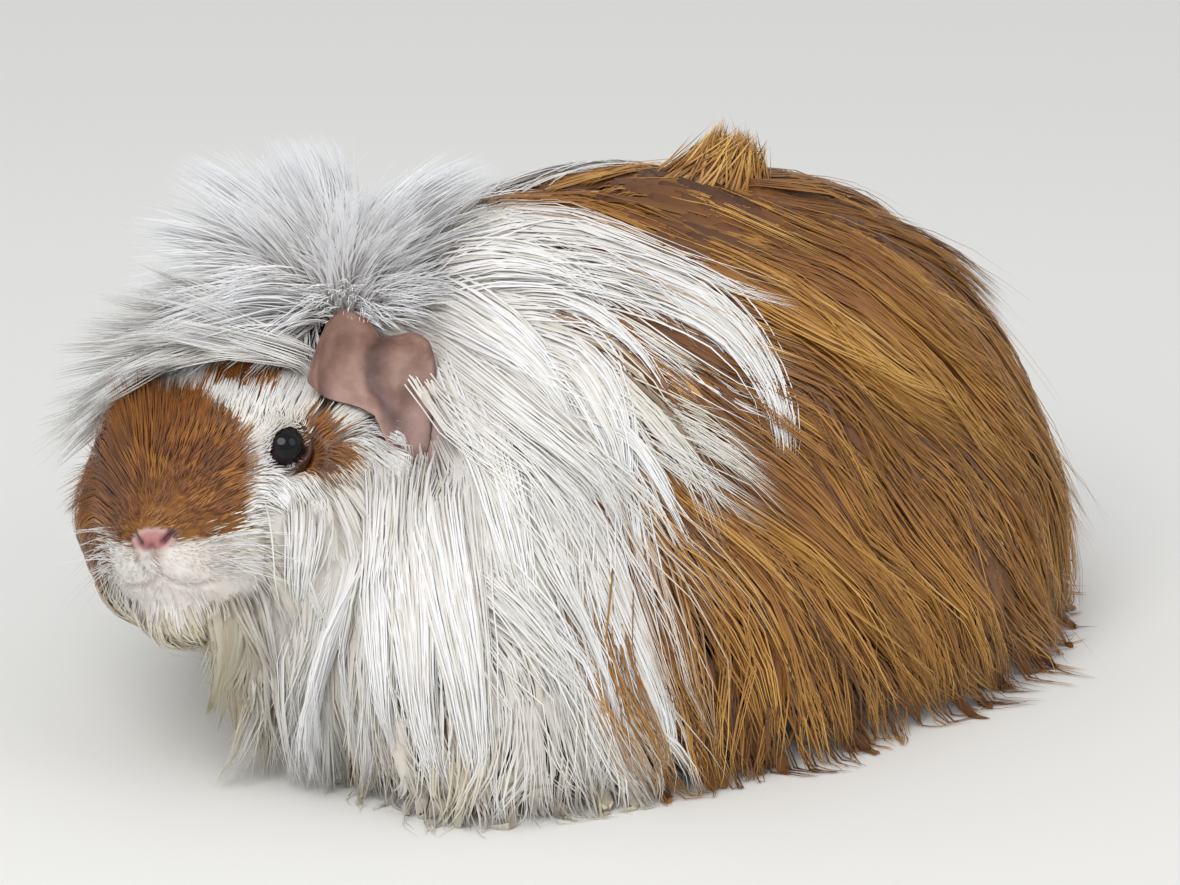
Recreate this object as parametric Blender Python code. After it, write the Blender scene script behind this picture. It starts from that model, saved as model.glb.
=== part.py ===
"""Long-haired guinea pig, crouching with its head turned to its left: a life-size still model.

Every solid reaches out to the tips of the coat. The animal faces -X, its left side is -Y and +Z is up.
Sizes are in millimetres and are turned to metres where a mesh is made. The body is shaped from a few
whole forms (the hanging coat, the neck, the head), each cut back by the forms beside it, so that
neighbours meet with a thin gap. The model stands on the soles of its four feet, at Z = 0.
"""

import math

import bmesh
import bpy
from mathutils import Matrix, Vector

MM = 0.001
GAP = 0.3                # between solids that meet
BOX_REACH = 400.0        # half size of the boxes that part the coat

# The hanging coat, as level outlines: height, front end, rear end, half width
HEM = 2.5
COAT_TOP = 125.0
COAT_LEVELS = (
    (HEM, -86.0, 129.0, 88.0),
    (20.0, -92.0, 128.5, 87.0),
    (40.0, -95.0, 125.0, 82.0),
    (60.0, -85.0, 118.0, 75.0),
    (80.0, -60.0, 107.0, 65.0),
    (98.0, -50.0, 92.0, 51.0),
    (111.0, -46.0, 73.0, 35.0),
    (119.0, -39.0, 50.0, 20.0),
    (COAT_TOP, -28.0, 22.0, 7.0),
)
COAT_RINGS = 12
COAT_POINTS = 60
WIDEST_LOW, WIDEST_HIGH = -30.0, -5.0    # where the outline is widest, at the hem and at the top
FRONT_BLUNTNESS = 3.0
REAR_BLUNTNESS = 2.1
FRONT_LEAN = 14.0        # the shoulders swing to the left, after the head
LOCKS_ROUND = 20         # broad hanging locks round the coat
LOCK_DEPTH = 2.4
LOCK_SWEEP = 0.30        # how far the locks are swept back, in radians

# Thin upright cuts part the coat at these places along X
SHOULDER_CUT = -30.0
LOIN_CUT = 24.0

# The head, in its own axes: forward, left, up, with the tip of the nose at its origin
NOSE_TIP = (-133.0, -42.0, 67.0)
HEAD_YAW = math.radians(43.0)
HEAD_ROLL = math.radians(8.0)    # the left side of the face is held a little higher
HEAD_STATIONS = (        # distance behind the nose, half width, top, bottom
    (0.0, 5.0, 3.0, -6.0),
    (2.5, 9.5, 6.5, -13.0),
    (7.0, 14.0, 10.0, -20.0),
    (14.0, 20.5, 15.0, -27.0),
    (24.0, 30.0, 21.0, -33.0),
    (36.0, 38.5, 27.5, -36.0),
    (48.0, 42.0, 32.0, -37.0),
    (62.0, 41.0, 34.0, -37.0),
    (76.0, 33.0, 31.0, -33.0),
    (84.0, 22.0, 22.0, -24.0),
)
HEAD_RINGS = 13
HEAD_POINTS = 22
HEAD_FULLNESS = 2.4
BROW_FULLNESS = 1.75
CHEEK_HEIGHT = 0.42      # the widest place, as a share of the height

EYE_PLACE = (-33.0, 22.3, 12.5)
EYE_RADIUS = 5.0
NOSE_PLACE = (-2.0, 0.0, -1.5)
NOSE_RADII = (3.6, 5.6, 4.4)
JAW_PLACE = (-17.0, 0.0, -22.5)
JAW_RADII = (15.0, 13.0, 9.0)

# The bare ear: height above its foot, front edge and rear edge, as seen square on
EAR_EDGES = (
    (-5.0, -4.5, 2.5),
    (6.0, -7.0, 6.0),
    (13.0, -8.5, 8.2),
    (17.0, -22.0, 8.5),
    (22.0, -25.5, 7.5),
    (28.0, -21.0, 3.0),
    (34.0, -14.0, -8.0),
)
EAR_ROWS = 9
EAR_COLUMNS = 5
EAR_THICKNESS = 1.5
EAR_CUP = 4.5
EAR_FOOT = (-61.0, 39.3, 3.1)
EAR_TURN = math.radians(52.0)    # how far the ear's face is turned out from straight ahead
EAR_LEAN = {"left": math.radians(12.0), "right": math.radians(34.0)}

NECK_PLACE = (-60.0, 5.0, 74.0)
NECK_RADII = (32.0, 34.0, 37.0)
NECK_YAW = math.radians(20.0)

# Standing locks: where each fan springs from on the head, locks, spread, rise and length
CREST_FANS = (
    (-70.0, 7.0, 35.0, 8, 360.0, 40.0, 40.0),
    (-69.0, 3.0, 37.0, 3, 240.0, 72.0, 42.0),
    (-54.0, 2.0, 34.0, 5, 150.0, 34.0, 37.0),
)
CREST_CORE = ((-64.0, 3.0, 34.0), (20.0, 17.0, 12.0))
LOCK_WIDTH = 13.0
LOCK_DROOP = 5.0
LOCK_SIDES = 5
CREST_TWIST = 0.4        # turns each fan a little further than the last
BACK_TUFT_PLACE = (42.0, 2.0, 110.0)
BACK_TUFT_AIMS = ((-0.35, 0.1, 26.0), (0.0, -0.1, 25.0), (0.4, 0.2, 24.0))   # lean in X and Y, length

# Legs: place of the foot's middle, foot length and width, toes, height of the leg
LEGS = {
    "foreleg": ((-66.0, 25.0), 19.0, 11.0, 4, 36.0, 13.0),
    "hindleg": ((57.0, 34.0), 38.0, 14.0, 3, 44.0, 24.0),
}
FOOT_THICKNESS = 6.5
FOOT_POINTS = 20
CLAW_LENGTH = {"foreleg": 4.5, "hindleg": 6.5}
CLAW_RADIUS = 1.0
WELL_MARGIN = 4.0
WELL_DEPTH = 11.0

COLOURS = {
    "white_hair": (0.80, 0.78, 0.74),
    "ginger_hair": (0.42, 0.20, 0.06),
    "mask_hair": (0.40, 0.15, 0.03),
    "bare_skin": (0.45, 0.27, 0.24),
    "eye": (0.008, 0.006, 0.010),
    "claw": (0.50, 0.40, 0.32),
}


def clear_scene():
    """Removes what the start-up scene holds."""
    for obj in list(bpy.data.objects):
        bpy.data.objects.remove(obj)


def make_collections():
    """The animal's own collection, and a hidden one for the forms that only cut."""
    animal = bpy.data.collections.new("guinea_pig")
    cutters = bpy.data.collections.new("cutters")
    cutters.hide_render = True
    bpy.context.scene.collection.children.link(animal)
    bpy.context.scene.collection.children.link(cutters)
    return animal, cutters


def make_material(name, roughness):
    material = bpy.data.materials.new(name)
    material.use_nodes = True
    shader = material.node_tree.nodes["Principled BSDF"]
    shader.inputs["Base Color"].default_value = (*COLOURS[name], 1.0)
    shader.inputs["Roughness"].default_value = roughness
    shader.inputs["Metallic"].default_value = 0.0
    return material


def smooth_table(table, at):
    """The values of a table at one place, read from a smooth curve through its rows."""
    rows = [row[0] for row in table]
    index = max(i for i in range(len(rows) - 1) if rows[i] <= at or i == 0)
    span = rows[index + 1] - rows[index]
    t = min(1.0, max(0.0, (at - rows[index]) / span))
    before = table[max(index - 1, 0)]
    after = table[min(index + 2, len(table) - 1)]
    values = []
    for column in range(1, len(table[0])):
        start = table[index][column]
        end = table[index + 1][column]
        slope_in = (end - before[column]) / max(table[index + 1][0] - before[0], span) * span
        slope_out = (after[column] - start) / max(after[0] - rows[index], span) * span
        values.append(
            start * (2 * t**3 - 3 * t**2 + 1)
            + slope_in * (t**3 - 2 * t**2 + t)
            + end * (3 * t**2 - 2 * t**3)
            + slope_out * (t**3 - t**2)
        )
    return values


def rounded(value, fullness):
    """One coordinate of a rounded square: 2 gives a circle, more gives fuller corners."""
    return math.copysign(abs(value) ** (2.0 / fullness), value)


def object_from(name, bm, collection):
    """Turns a finished bmesh in millimetres into an object, with its faces pointing out."""
    bmesh.ops.recalc_face_normals(bm, faces=bm.faces)
    if bm.calc_volume(signed=True) < 0:
        bmesh.ops.reverse_faces(bm, faces=bm.faces)
    bmesh.ops.scale(bm, vec=(MM, MM, MM), verts=bm.verts)
    mesh = bpy.data.meshes.new(name)
    bm.to_mesh(mesh)
    bm.free()
    obj = bpy.data.objects.new(name, mesh)
    collection.objects.link(obj)
    return obj


def loft(name, rings, collection, place=None):
    """A closed skin over a run of rings with the same number of points, capped at both ends."""
    bm = bmesh.new()
    loops = [[bm.verts.new(point) for point in ring] for ring in rings]
    count = len(loops[0])
    for low, high in zip(loops, loops[1:]):
        for i in range(count):
            j = (i + 1) % count
            bm.faces.new((low[i], low[j], high[j], high[i]))
    for loop in (loops[0], loops[-1]):
        bm.faces.new(loop)
    if place is not None:
        bmesh.ops.transform(bm, matrix=place, verts=bm.verts)
    return object_from(name, bm, collection)


def ellipsoid(name, radii, place, collection, segments=20, rings=12):
    """A ball with three radii, moved and turned by a matrix."""
    bm = bmesh.new()
    bmesh.ops.create_uvsphere(bm, u_segments=segments, v_segments=rings, radius=1.0)
    bmesh.ops.scale(bm, vec=radii, verts=bm.verts)
    bmesh.ops.transform(bm, matrix=place, verts=bm.verts)
    return object_from(name, bm, collection)


def grown(obj, gap, collection):
    """A copy of a form with its surface moved outwards by a gap."""
    bm = bmesh.new()
    bm.from_mesh(obj.data)
    bm.normal_update()
    for vert in bm.verts:
        vert.co += vert.normal * gap * MM
    mesh = bpy.data.meshes.new(obj.name + "_grown")
    bm.to_mesh(mesh)
    bm.free()
    copy = bpy.data.objects.new(obj.name + "_grown", mesh)
    collection.objects.link(copy)
    copy.display_type = "WIRE"
    return copy


def join(obj, operation, other):
    """Applies one Boolean to a form and tidies the result."""
    modifier = obj.modifiers.new(operation.lower(), "BOOLEAN")
    modifier.operation = operation
    modifier.object = other
    modifier.solver = "EXACT"
    bpy.context.view_layer.update()
    result = bpy.data.meshes.new_from_object(obj.evaluated_get(bpy.context.evaluated_depsgraph_get()))
    obj.modifiers.remove(modifier)
    bm = bmesh.new()
    bm.from_mesh(result)
    bmesh.ops.remove_doubles(bm, verts=bm.verts, dist=0.02 * MM)
    bmesh.ops.dissolve_degenerate(bm, edges=bm.edges, dist=0.02 * MM)
    bmesh.ops.dissolve_limit(bm, angle_limit=math.radians(0.5), verts=bm.verts, edges=bm.edges)
    bmesh.ops.triangulate(bm, faces=bm.faces)
    bm.to_mesh(result)
    bm.free()
    result.name = obj.name
    obj.data = result


def drop_crumbs(obj):
    """Keeps the largest closed body of a form, and drops the crumbs that a cut leaves beside it."""
    bm = bmesh.new()
    bm.from_mesh(obj.data)
    unseen = set(bm.verts)
    bodies = []
    while unseen:
        body = set()
        front = [unseen.pop()]
        while front:
            vert = front.pop()
            body.add(vert)
            for edge in vert.link_edges:
                other = edge.other_vert(vert)
                if other in unseen:
                    unseen.remove(other)
                    front.append(other)
        bodies.append(body)
    bodies.sort(key=len)
    for body in bodies[:-1]:
        bmesh.ops.delete(bm, geom=list(body), context="VERTS")
    bm.to_mesh(obj.data)
    bm.free()


def fit_to(obj, neighbours, cutters):
    """Cuts a form back from its neighbours, leaving the thin gap."""
    for neighbour in neighbours:
        cutter = grown(neighbour, GAP, cutters)
        join(obj, "DIFFERENCE", cutter)
        bpy.data.objects.remove(cutter)
    drop_crumbs(obj)


def head_place(roll=HEAD_ROLL):
    """The matrix from the head's own axes to the animal's."""
    forward = Vector((-math.cos(HEAD_YAW), -math.sin(HEAD_YAW), 0.0))
    left = Vector((math.sin(HEAD_YAW), -math.cos(HEAD_YAW), 0.0))
    up = Vector((0.0, 0.0, 1.0))
    axes = Matrix((forward, left, up)).transposed().to_4x4()
    return Matrix.Translation(NOSE_TIP) @ axes @ Matrix.Rotation(roll, 4, "X")


def coat_point(angle, height):
    """One point of the coat's outline at a height: an egg seen from above, fluted into locks."""
    front, rear, half_width = smooth_table(COAT_LEVELS, height)
    share = (height - HEM) / (COAT_TOP - HEM)
    widest = WIDEST_LOW + (WIDEST_HIGH - WIDEST_LOW) * share**2
    bluntness = REAR_BLUNTNESS
    reach = rear - widest
    if math.cos(angle) < 0:
        bluntness = FRONT_BLUNTNESS + (REAR_BLUNTNESS - FRONT_BLUNTNESS) * share
        reach = widest - front
    x = widest + reach * rounded(math.cos(angle), bluntness)
    y = half_width * rounded(math.sin(angle), bluntness)
    ahead = max(0.0, (widest - x) / reach)
    y -= FRONT_LEAN * ahead**2 * (1.0 - share)
    swept = angle + LOCK_SWEEP * math.sin(angle) * share
    flute = LOCK_DEPTH * (1.0 - share) ** 0.7 * math.cos(LOCKS_ROUND * swept)
    return (x + flute * math.cos(angle), y + flute * math.sin(angle), height)


def make_coat(collection):
    """The whole hanging coat of the body, from the hem to the line of the back."""
    rings = []
    for i in range(COAT_RINGS):
        share = math.sin(0.5 * math.pi * i / (COAT_RINGS - 1))
        height = HEM + (COAT_TOP - HEM) * share
        rings.append([coat_point(math.tau * k / COAT_POINTS, height) for k in range(COAT_POINTS)])
    return loft("coat", rings, collection)


def head_ring(distance):
    """One upright section of the head, full in the cheeks and narrower at the brow."""
    half_width, top, bottom = smooth_table(HEAD_STATIONS, distance)
    middle = bottom + CHEEK_HEIGHT * (top - bottom)
    ring = []
    for k in range(HEAD_POINTS):
        angle = math.tau * k / HEAD_POINTS
        upper = math.sin(angle) > 0
        fullness = BROW_FULLNESS if upper else HEAD_FULLNESS
        reach = top - middle if upper else middle - bottom
        across = half_width * rounded(math.cos(angle), fullness)
        ring.append((-distance, across, middle + reach * rounded(math.sin(angle), fullness)))
    return ring


def make_head(collection):
    """The head from the nose to the nape, with closer sections round the muzzle."""
    length = HEAD_STATIONS[-1][0]
    rings = [head_ring(length * (i / (HEAD_RINGS - 1)) ** 1.4) for i in range(HEAD_RINGS)]
    return loft("head", rings, collection, head_place())


def ear_ring(up):
    """A level section of the ear: a thin cupped strip, thickest in the middle."""
    front, rear = smooth_table(EAR_EDGES, up)
    share = (up - EAR_EDGES[0][0]) / (EAR_EDGES[-1][0] - EAR_EDGES[0][0])
    face = []
    back = []
    for i in range(EAR_COLUMNS + 1):
        across = i / EAR_COLUMNS
        wide = front + (rear - front) * across
        cup = EAR_CUP * ((across - 0.55) * 1.8) ** 2 * (0.4 + share)
        wall = EAR_THICKNESS * (0.35 + 0.3 * math.sin(math.pi * across)) * (1.15 - 0.4 * share)
        face.append((cup + wall, wide, up))
        back.append((cup - wall, wide, up))
    return face + back[::-1]


def make_ear(word, side, collection):
    """A thin cupped petal with a forward lobe, standing on the side of the head."""
    foot, top = EAR_EDGES[0][0], EAR_EDGES[-1][0]
    rings = [ear_ring(foot + (top - foot) * i / EAR_ROWS) for i in range(EAR_ROWS + 1)]
    turn = Matrix.Rotation(EAR_TURN, 4, "Z") @ Matrix.Rotation(-EAR_LEAN[word], 4, "Y")
    hang = Matrix.Rotation(-side * HEAD_ROLL, 4, "X")
    place = Matrix.Translation(EAR_FOOT) @ hang @ turn
    if side < 0:
        place = Matrix.Diagonal((1.0, -1.0, 1.0, 1.0)) @ place
    return loft(f"ear_{word}", rings, collection, head_place() @ place)


def make_lock(name, root, direction, length, width, droop, collection):
    """One tapered lock of hair that bends over as it leaves its root."""
    direction = direction.normalized()
    side = direction.cross(Vector((0.0, 0.0, 1.0)))
    if side.length < 0.01:
        side = Vector((0.0, 1.0, 0.0))
    side.normalize()
    lift = side.cross(direction)
    rings = []
    for share in (0.0, 0.4, 0.8, 1.0):
        middle = root + direction * length * share - Vector((0.0, 0.0, droop * share**2))
        reach = width * (1.0 - 0.93 * share**1.8) / 2.0
        ring = []
        for k in range(LOCK_SIDES):
            angle = math.tau * k / LOCK_SIDES
            ring.append(middle + side * reach * math.cos(angle) + lift * 0.6 * reach * math.sin(angle))
        rings.append(ring)
    return loft(name, rings, collection)


def make_crest(collection, cutters):
    """The standing crest: fans of locks that spring from the crown and the nape, on one core."""
    place = head_place(0.0)
    core_place, core_radii = CREST_CORE
    crest = ellipsoid("crest", core_radii, place @ Matrix.Translation(core_place), collection, 12, 7)
    for behind, aside, above, count, spread, rise, length in CREST_FANS:
        root = place @ Vector((behind, aside, above))
        for i in range(count):
            share = i / count if spread == 360.0 else i / (count - 1) - 0.5
            yaw = math.radians(spread * share + CREST_TWIST * length)
            pitch = math.radians(rise)
            aim = Vector((math.cos(yaw) * math.cos(pitch), math.sin(yaw) * math.cos(pitch), math.sin(pitch)))
            aim = place.to_3x3() @ aim
            lock = make_lock("lock", root, aim, length, LOCK_WIDTH, LOCK_DROOP, cutters)
            join(crest, "UNION", lock)
            bpy.data.objects.remove(lock)
    return crest


def make_back_tuft(collection, cutters):
    """The small whorl behind the loins, where three locks stand out from the line of the back."""
    tuft = None
    for lean_x, lean_y, length in BACK_TUFT_AIMS:
        aim = Vector((lean_x, lean_y, 1.0))
        name = "lock" if tuft else "back_tuft"
        lock = make_lock(name, Vector(BACK_TUFT_PLACE), aim, length, LOCK_WIDTH, 0.0, cutters)
        if tuft is None:
            tuft = lock
            continue
        join(tuft, "UNION", lock)
        bpy.data.objects.remove(lock)
    cutters.objects.unlink(tuft)
    collection.objects.link(tuft)
    return tuft


def foot_ring(kind, side, height, margin, swell):
    """The outline of a foot at a height, with its toes as lobes along the front."""
    (x, y), length, width, toes, _, _ = LEGS[kind]
    ring = []
    for k in range(FOOT_POINTS):
        angle = math.tau * k / FOOT_POINTS
        along = (length / 2.0 + margin) * rounded(math.cos(angle), 2.6) * swell
        across = (width / 2.0 + margin) * rounded(math.sin(angle), 2.6) * swell
        if math.cos(angle) < -0.3 and margin == 0.0:
            lobes = abs(math.cos(toes * math.pi * (across / width + 0.5 * (toes % 2 == 0))))
            along -= 1.2 * lobes - 0.6
        ring.append((x + along, side * y + across, height))
    return ring


def leg_ring(kind, side, height, share):
    """An oval section of the leg above the foot, swelling to the thigh or upper arm."""
    (x, y), length, _, _, _, thigh = LEGS[kind]
    back = 0.18 * length
    reach = 0.55 * thigh + 0.45 * thigh * share
    ring = []
    for k in range(FOOT_POINTS):
        angle = math.tau * k / FOOT_POINTS
        ring.append((x + back + 0.6 * reach * math.cos(angle), side * y + 0.42 * reach * math.sin(angle), height))
    return ring


def make_leg(name, kind, side, collection):
    """One leg: a flat-soled foot with toes, and the shank up into the body."""
    top = LEGS[kind][4]
    rings = [
        foot_ring(kind, side, 0.0, 0.0, 0.90),
        foot_ring(kind, side, 1.5, 0.0, 1.0),
        foot_ring(kind, side, FOOT_THICKNESS - 2.0, 0.0, 0.94),
        leg_ring(kind, side, FOOT_THICKNESS + 2.5, 0.0),
        leg_ring(kind, side, 0.6 * top, 0.8),
        leg_ring(kind, side, top, 0.5),
    ]
    return loft(name, rings, collection)


def make_well(name, kind, side, collection):
    """The hollow in the coat's underside that the foot stands in, with room for its claws."""
    reach = WELL_MARGIN + CLAW_LENGTH[kind]
    rings = [
        foot_ring(kind, side, -5.0, reach, 1.0),
        foot_ring(kind, side, WELL_DEPTH - 4.0, reach, 1.0),
        foot_ring(kind, side, WELL_DEPTH, reach, 0.8),
    ]
    return loft(name, rings, collection)


def make_claws(kind, side, word, collection):
    """The claws of one foot, one for each toe, curving down towards the floor."""
    (x, y), length, width, toes, _, _ = LEGS[kind]
    claws = []
    for i in range(toes):
        across = (i + 0.5) / toes - 0.5
        start = Vector((x - length / 2.0 + 1.2 + 5.0 * across**2, side * y + across * width * 0.86, 3.2))
        aim = Vector((-1.0, 0.5 * across, 0.0)).normalized()
        cross = Vector((0.0, 1.0, 0.0))
        rings = []
        for share in (0.0, 0.5, 1.0):
            middle = start + aim * CLAW_LENGTH[kind] * share - Vector((0.0, 0.0, 1.9 * share**2))
            reach = CLAW_RADIUS * (1.0 - 0.7 * share)
            ring = []
            for k in range(LOCK_SIDES):
                angle = math.tau * k / LOCK_SIDES
                ring.append(middle + cross * reach * math.cos(angle) + Vector((0, 0, reach * math.sin(angle))))
            rings.append(ring)
        claws.append(loft(f"claw_{kind}_{word}_{i + 1}", rings, collection))
    return claws


def make_slab(name, start, end, collection):
    """A box that keeps the stretch of the coat between two places along X."""
    bm = bmesh.new()
    bmesh.ops.create_cube(bm, size=1.0)
    bmesh.ops.scale(bm, vec=(end - start, BOX_REACH, BOX_REACH), verts=bm.verts)
    bmesh.ops.translate(bm, vec=((start + end) / 2.0, 0.0, 0.0), verts=bm.verts)
    return object_from(name, bm, collection)


def part_coat(coat, animal, cutters):
    """Parts the coat into shoulders, trunk and hindquarters."""
    stretches = {
        "shoulders": (-BOX_REACH, SHOULDER_CUT - GAP / 2.0),
        "trunk": (SHOULDER_CUT + GAP / 2.0, LOIN_CUT - GAP / 2.0),
        "hindquarters": (LOIN_CUT + GAP / 2.0, BOX_REACH),
    }
    pieces = {}
    for name, (start, end) in stretches.items():
        piece = bpy.data.objects.new(name, coat.data.copy())
        animal.objects.link(piece)
        slab = make_slab(name + "_slab", start, end, cutters)
        join(piece, "INTERSECT", slab)
        bpy.data.objects.remove(slab)
        pieces[name] = piece
    return pieces


def centre_on_floor(objects):
    """Moves every solid alike, so that the middle of their common box stands over the origin."""
    points = [vert.co for obj in objects for vert in obj.data.vertices]
    low = [min(point[axis] for point in points) for axis in range(3)]
    high = [max(point[axis] for point in points) for axis in range(3)]
    shift = Matrix.Translation((-(low[0] + high[0]) / 2.0, -(low[1] + high[1]) / 2.0, -low[2]))
    for obj in objects:
        obj.data.transform(shift)
    print("size in mm:", [round((b - a) / MM, 1) for a, b in zip(low, high)])
    print("moved in mm:", [round(value / MM, 2) for value in shift.translation])


def main():
    clear_scene()
    animal, cutters = make_collections()
    white = make_material("white_hair", 0.6)
    ginger = make_material("ginger_hair", 0.55)
    mask = make_material("mask_hair", 0.6)
    skin = make_material("bare_skin", 0.5)
    eye = make_material("eye", 0.05)
    horn = make_material("claw", 0.35)
    finishes = {}

    place = head_place()
    eyes = []
    for word, side in (("left", 1.0), ("right", -1.0)):
        spot = place @ Matrix.Translation((EYE_PLACE[0], side * EYE_PLACE[1], EYE_PLACE[2]))
        eyes.append(ellipsoid(f"eye_{word}", (EYE_RADIUS,) * 3, spot, animal, 12, 8))
        finishes[eyes[-1]] = eye
    nose = ellipsoid("nose", NOSE_RADII, place @ Matrix.Translation(NOSE_PLACE), animal, 12, 8)
    jaw = ellipsoid("lower_jaw", JAW_RADII, place @ Matrix.Translation(JAW_PLACE), animal, 14, 9)
    fit_to(jaw, [nose], cutters)
    ears = [make_ear(word, side, animal) for word, side in (("left", 1.0), ("right", -1.0))]

    head_form = make_head(cutters)
    head = bpy.data.objects.new("head", head_form.data.copy())
    head_form.name = "head_form"
    head.name = "head"
    animal.objects.link(head)
    neck_spot = Matrix.Translation(NECK_PLACE) @ Matrix.Rotation(NECK_YAW, 4, "Z")
    neck_form = ellipsoid("neck_form", NECK_RADII, neck_spot, cutters, 16, 10)
    neck = bpy.data.objects.new("neck", neck_form.data.copy())
    animal.objects.link(neck)

    fit_to(head, [*eyes, nose, jaw, *ears], cutters)
    fit_to(neck, [head_form, *ears], cutters)

    coat = make_coat(cutters)
    pieces = part_coat(coat, animal, cutters)
    shoulders, trunk, hindquarters = pieces["shoulders"], pieces["trunk"], pieces["hindquarters"]
    fit_to(shoulders, [head_form, neck_form, *ears], cutters)
    fit_to(trunk, [neck_form], cutters)

    carriers = {"foreleg": shoulders, "hindleg": hindquarters}
    for kind, carrier in carriers.items():
        for word, side in (("left", -1.0), ("right", 1.0)):
            leg = make_leg(f"{kind}_{word}", kind, side, animal)
            well = make_well("well", kind, side, cutters)
            fit_to(carrier, [leg], cutters)
            join(carrier, "DIFFERENCE", well)
            bpy.data.objects.remove(well)
            claws = make_claws(kind, side, word, animal)
            fit_to(leg, claws, cutters)
            finishes[leg] = skin
            finishes.update({claw: horn for claw in claws})

    crest = make_crest(animal, cutters)
    fit_to(crest, [head_form, neck_form, coat, *ears], cutters)
    tuft = make_back_tuft(animal, cutters)
    fit_to(tuft, [coat], cutters)

    finishes.update({nose: skin, jaw: white, head: mask, neck: white, crest: white})
    finishes.update({ear: skin for ear in ears})
    finishes.update({shoulders: white, trunk: ginger, hindquarters: ginger})
    finishes[tuft] = ginger
    for obj, material in finishes.items():
        obj.data.materials.clear()
        obj.data.materials.append(material)
        obj.data.shade_smooth()
    for form in (head_form, neck_form, coat):
        bpy.data.objects.remove(form)
    centre_on_floor(list(finishes))
    for obj in finishes:
        print(obj.name, len(obj.data.polygons))


main()
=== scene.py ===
# %% [markdown]
# A long-haired guinea pig at rest, life size, as a still museum model.
# The solid model gives the outer shape, out to the tips of the coat. Inside it this lesson builds a skin
# with a real muzzle, lids, ears and feet, and then lays the coat on it hair lock by hair lock.

# %% The frame and the tools
import math
import bmesh
import bpy
import numpy as np
from mathutils import Matrix, Vector
from mathutils.bvhtree import BVHTree
from mathutils.kdtree import KDTree


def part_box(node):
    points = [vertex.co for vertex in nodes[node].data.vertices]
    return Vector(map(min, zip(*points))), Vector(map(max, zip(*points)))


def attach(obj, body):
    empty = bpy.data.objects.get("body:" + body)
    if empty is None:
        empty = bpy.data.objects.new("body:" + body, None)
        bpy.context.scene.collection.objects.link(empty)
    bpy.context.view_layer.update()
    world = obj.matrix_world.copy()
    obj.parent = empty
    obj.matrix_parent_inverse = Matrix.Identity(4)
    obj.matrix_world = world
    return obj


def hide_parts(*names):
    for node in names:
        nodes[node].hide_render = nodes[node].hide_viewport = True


MM = 0.001
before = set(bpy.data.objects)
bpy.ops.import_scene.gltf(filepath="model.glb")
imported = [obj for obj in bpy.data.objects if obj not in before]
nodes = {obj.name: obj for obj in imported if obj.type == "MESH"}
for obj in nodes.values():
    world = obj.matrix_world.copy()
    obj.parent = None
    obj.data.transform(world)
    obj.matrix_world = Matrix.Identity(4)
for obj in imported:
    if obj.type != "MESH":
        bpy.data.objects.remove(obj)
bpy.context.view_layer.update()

# %% [markdown]
# The head is turned to one side and tilted a little, so its features are easier to place along the head's
# own axes: back from the tip of the nose, out to the animal's left, and up. The eyes and the nose give them.

# %% The head's own axes
def middle(node):
    low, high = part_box(node)
    return (low + high) / 2


LEFT = (middle("eye_left") - middle("eye_right")).normalized()
BACK = Vector((-LEFT.y, LEFT.x, 0)).normalized()
UP = BACK.cross(LEFT)
UP = UP if UP.z > 0 else -UP
NOSE_TIP = middle("nose") - 2 * MM * BACK + 1.5 * MM * UP
HEAD_AXES = np.array([BACK, LEFT, UP])


def head_places(points):
    """Each point as (behind the nose tip, left of the midline, above the nose tip), in millimetres."""
    return (np.asarray(points) - np.array(NOSE_TIP)) @ HEAD_AXES.T / MM


def head_point(behind, left, above):
    return NOSE_TIP + MM * (behind * BACK + left * LEFT + above * UP)


for eye in ("eye_left", "eye_right"):
    print(eye, "sits at", head_places([middle(eye)])[0].round(1), "mm from the nose tip")

# %% [markdown]
# Three small curves come back all through the lesson: an even step from 0 to 1, a soft bump, and a
# slow wander that makes a border or a lock less regular without any random draw.

# %% Curves for blending
def step(low, high, value):
    share = np.clip((value - low) / (high - low), 0, 1)
    return share * share * (3 - 2 * share)


def bump(distance, radius):
    return np.exp(-((distance / radius) ** 2))


def wander(points, wavelength, seed):
    """A smooth value from about -1 to 1 that changes over that wavelength."""
    rng = np.random.default_rng(seed)
    waves = rng.normal(size=(6, 3))
    waves *= (2 * math.pi / wavelength) / np.linalg.norm(waves, axis=1, keepdims=True)
    phases = rng.uniform(0, 2 * math.pi, 6)
    return np.sin(np.asarray(points) @ waves.T + phases).sum(axis=1) / 2.4


# %% [markdown]
# Most shapes here start as solids that are fused into one closed surface. A voxel remesh does that:
# it fills the shapes with small cells and wraps one even skin round them.

# %% Fusing solids into one surface
def new_object(name, mesh):
    obj = bpy.data.objects.new(name, mesh)
    bpy.context.scene.collection.objects.link(obj)
    return obj


def shaped_mesh(obj):
    """A mesh of the object as its modifiers shape it."""
    graph = bpy.context.evaluated_depsgraph_get()
    return bpy.data.meshes.new_from_object(obj.evaluated_get(graph))


def fused(name, meshes, cell, smooth_rounds):
    """One closed surface round all the meshes, wrapped at that cell size and then smoothed."""
    bm = bmesh.new()
    for mesh in meshes:
        bm.from_mesh(mesh)
    bmesh.ops.remove_doubles(bm, verts=bm.verts, dist=0.01 * MM)
    rough = bpy.data.meshes.new(name + "_rough")
    bm.to_mesh(rough)
    bm.free()
    obj = new_object(name, rough)
    wrap = obj.modifiers.new("wrap", "REMESH")
    wrap.mode = "VOXEL"
    wrap.voxel_size = cell
    soften = obj.modifiers.new("soften", "SMOOTH")
    soften.iterations = smooth_rounds
    soften.factor = 0.5
    mesh = shaped_mesh(obj)
    bpy.data.objects.remove(obj)
    mesh.name = name
    return mesh


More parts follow.
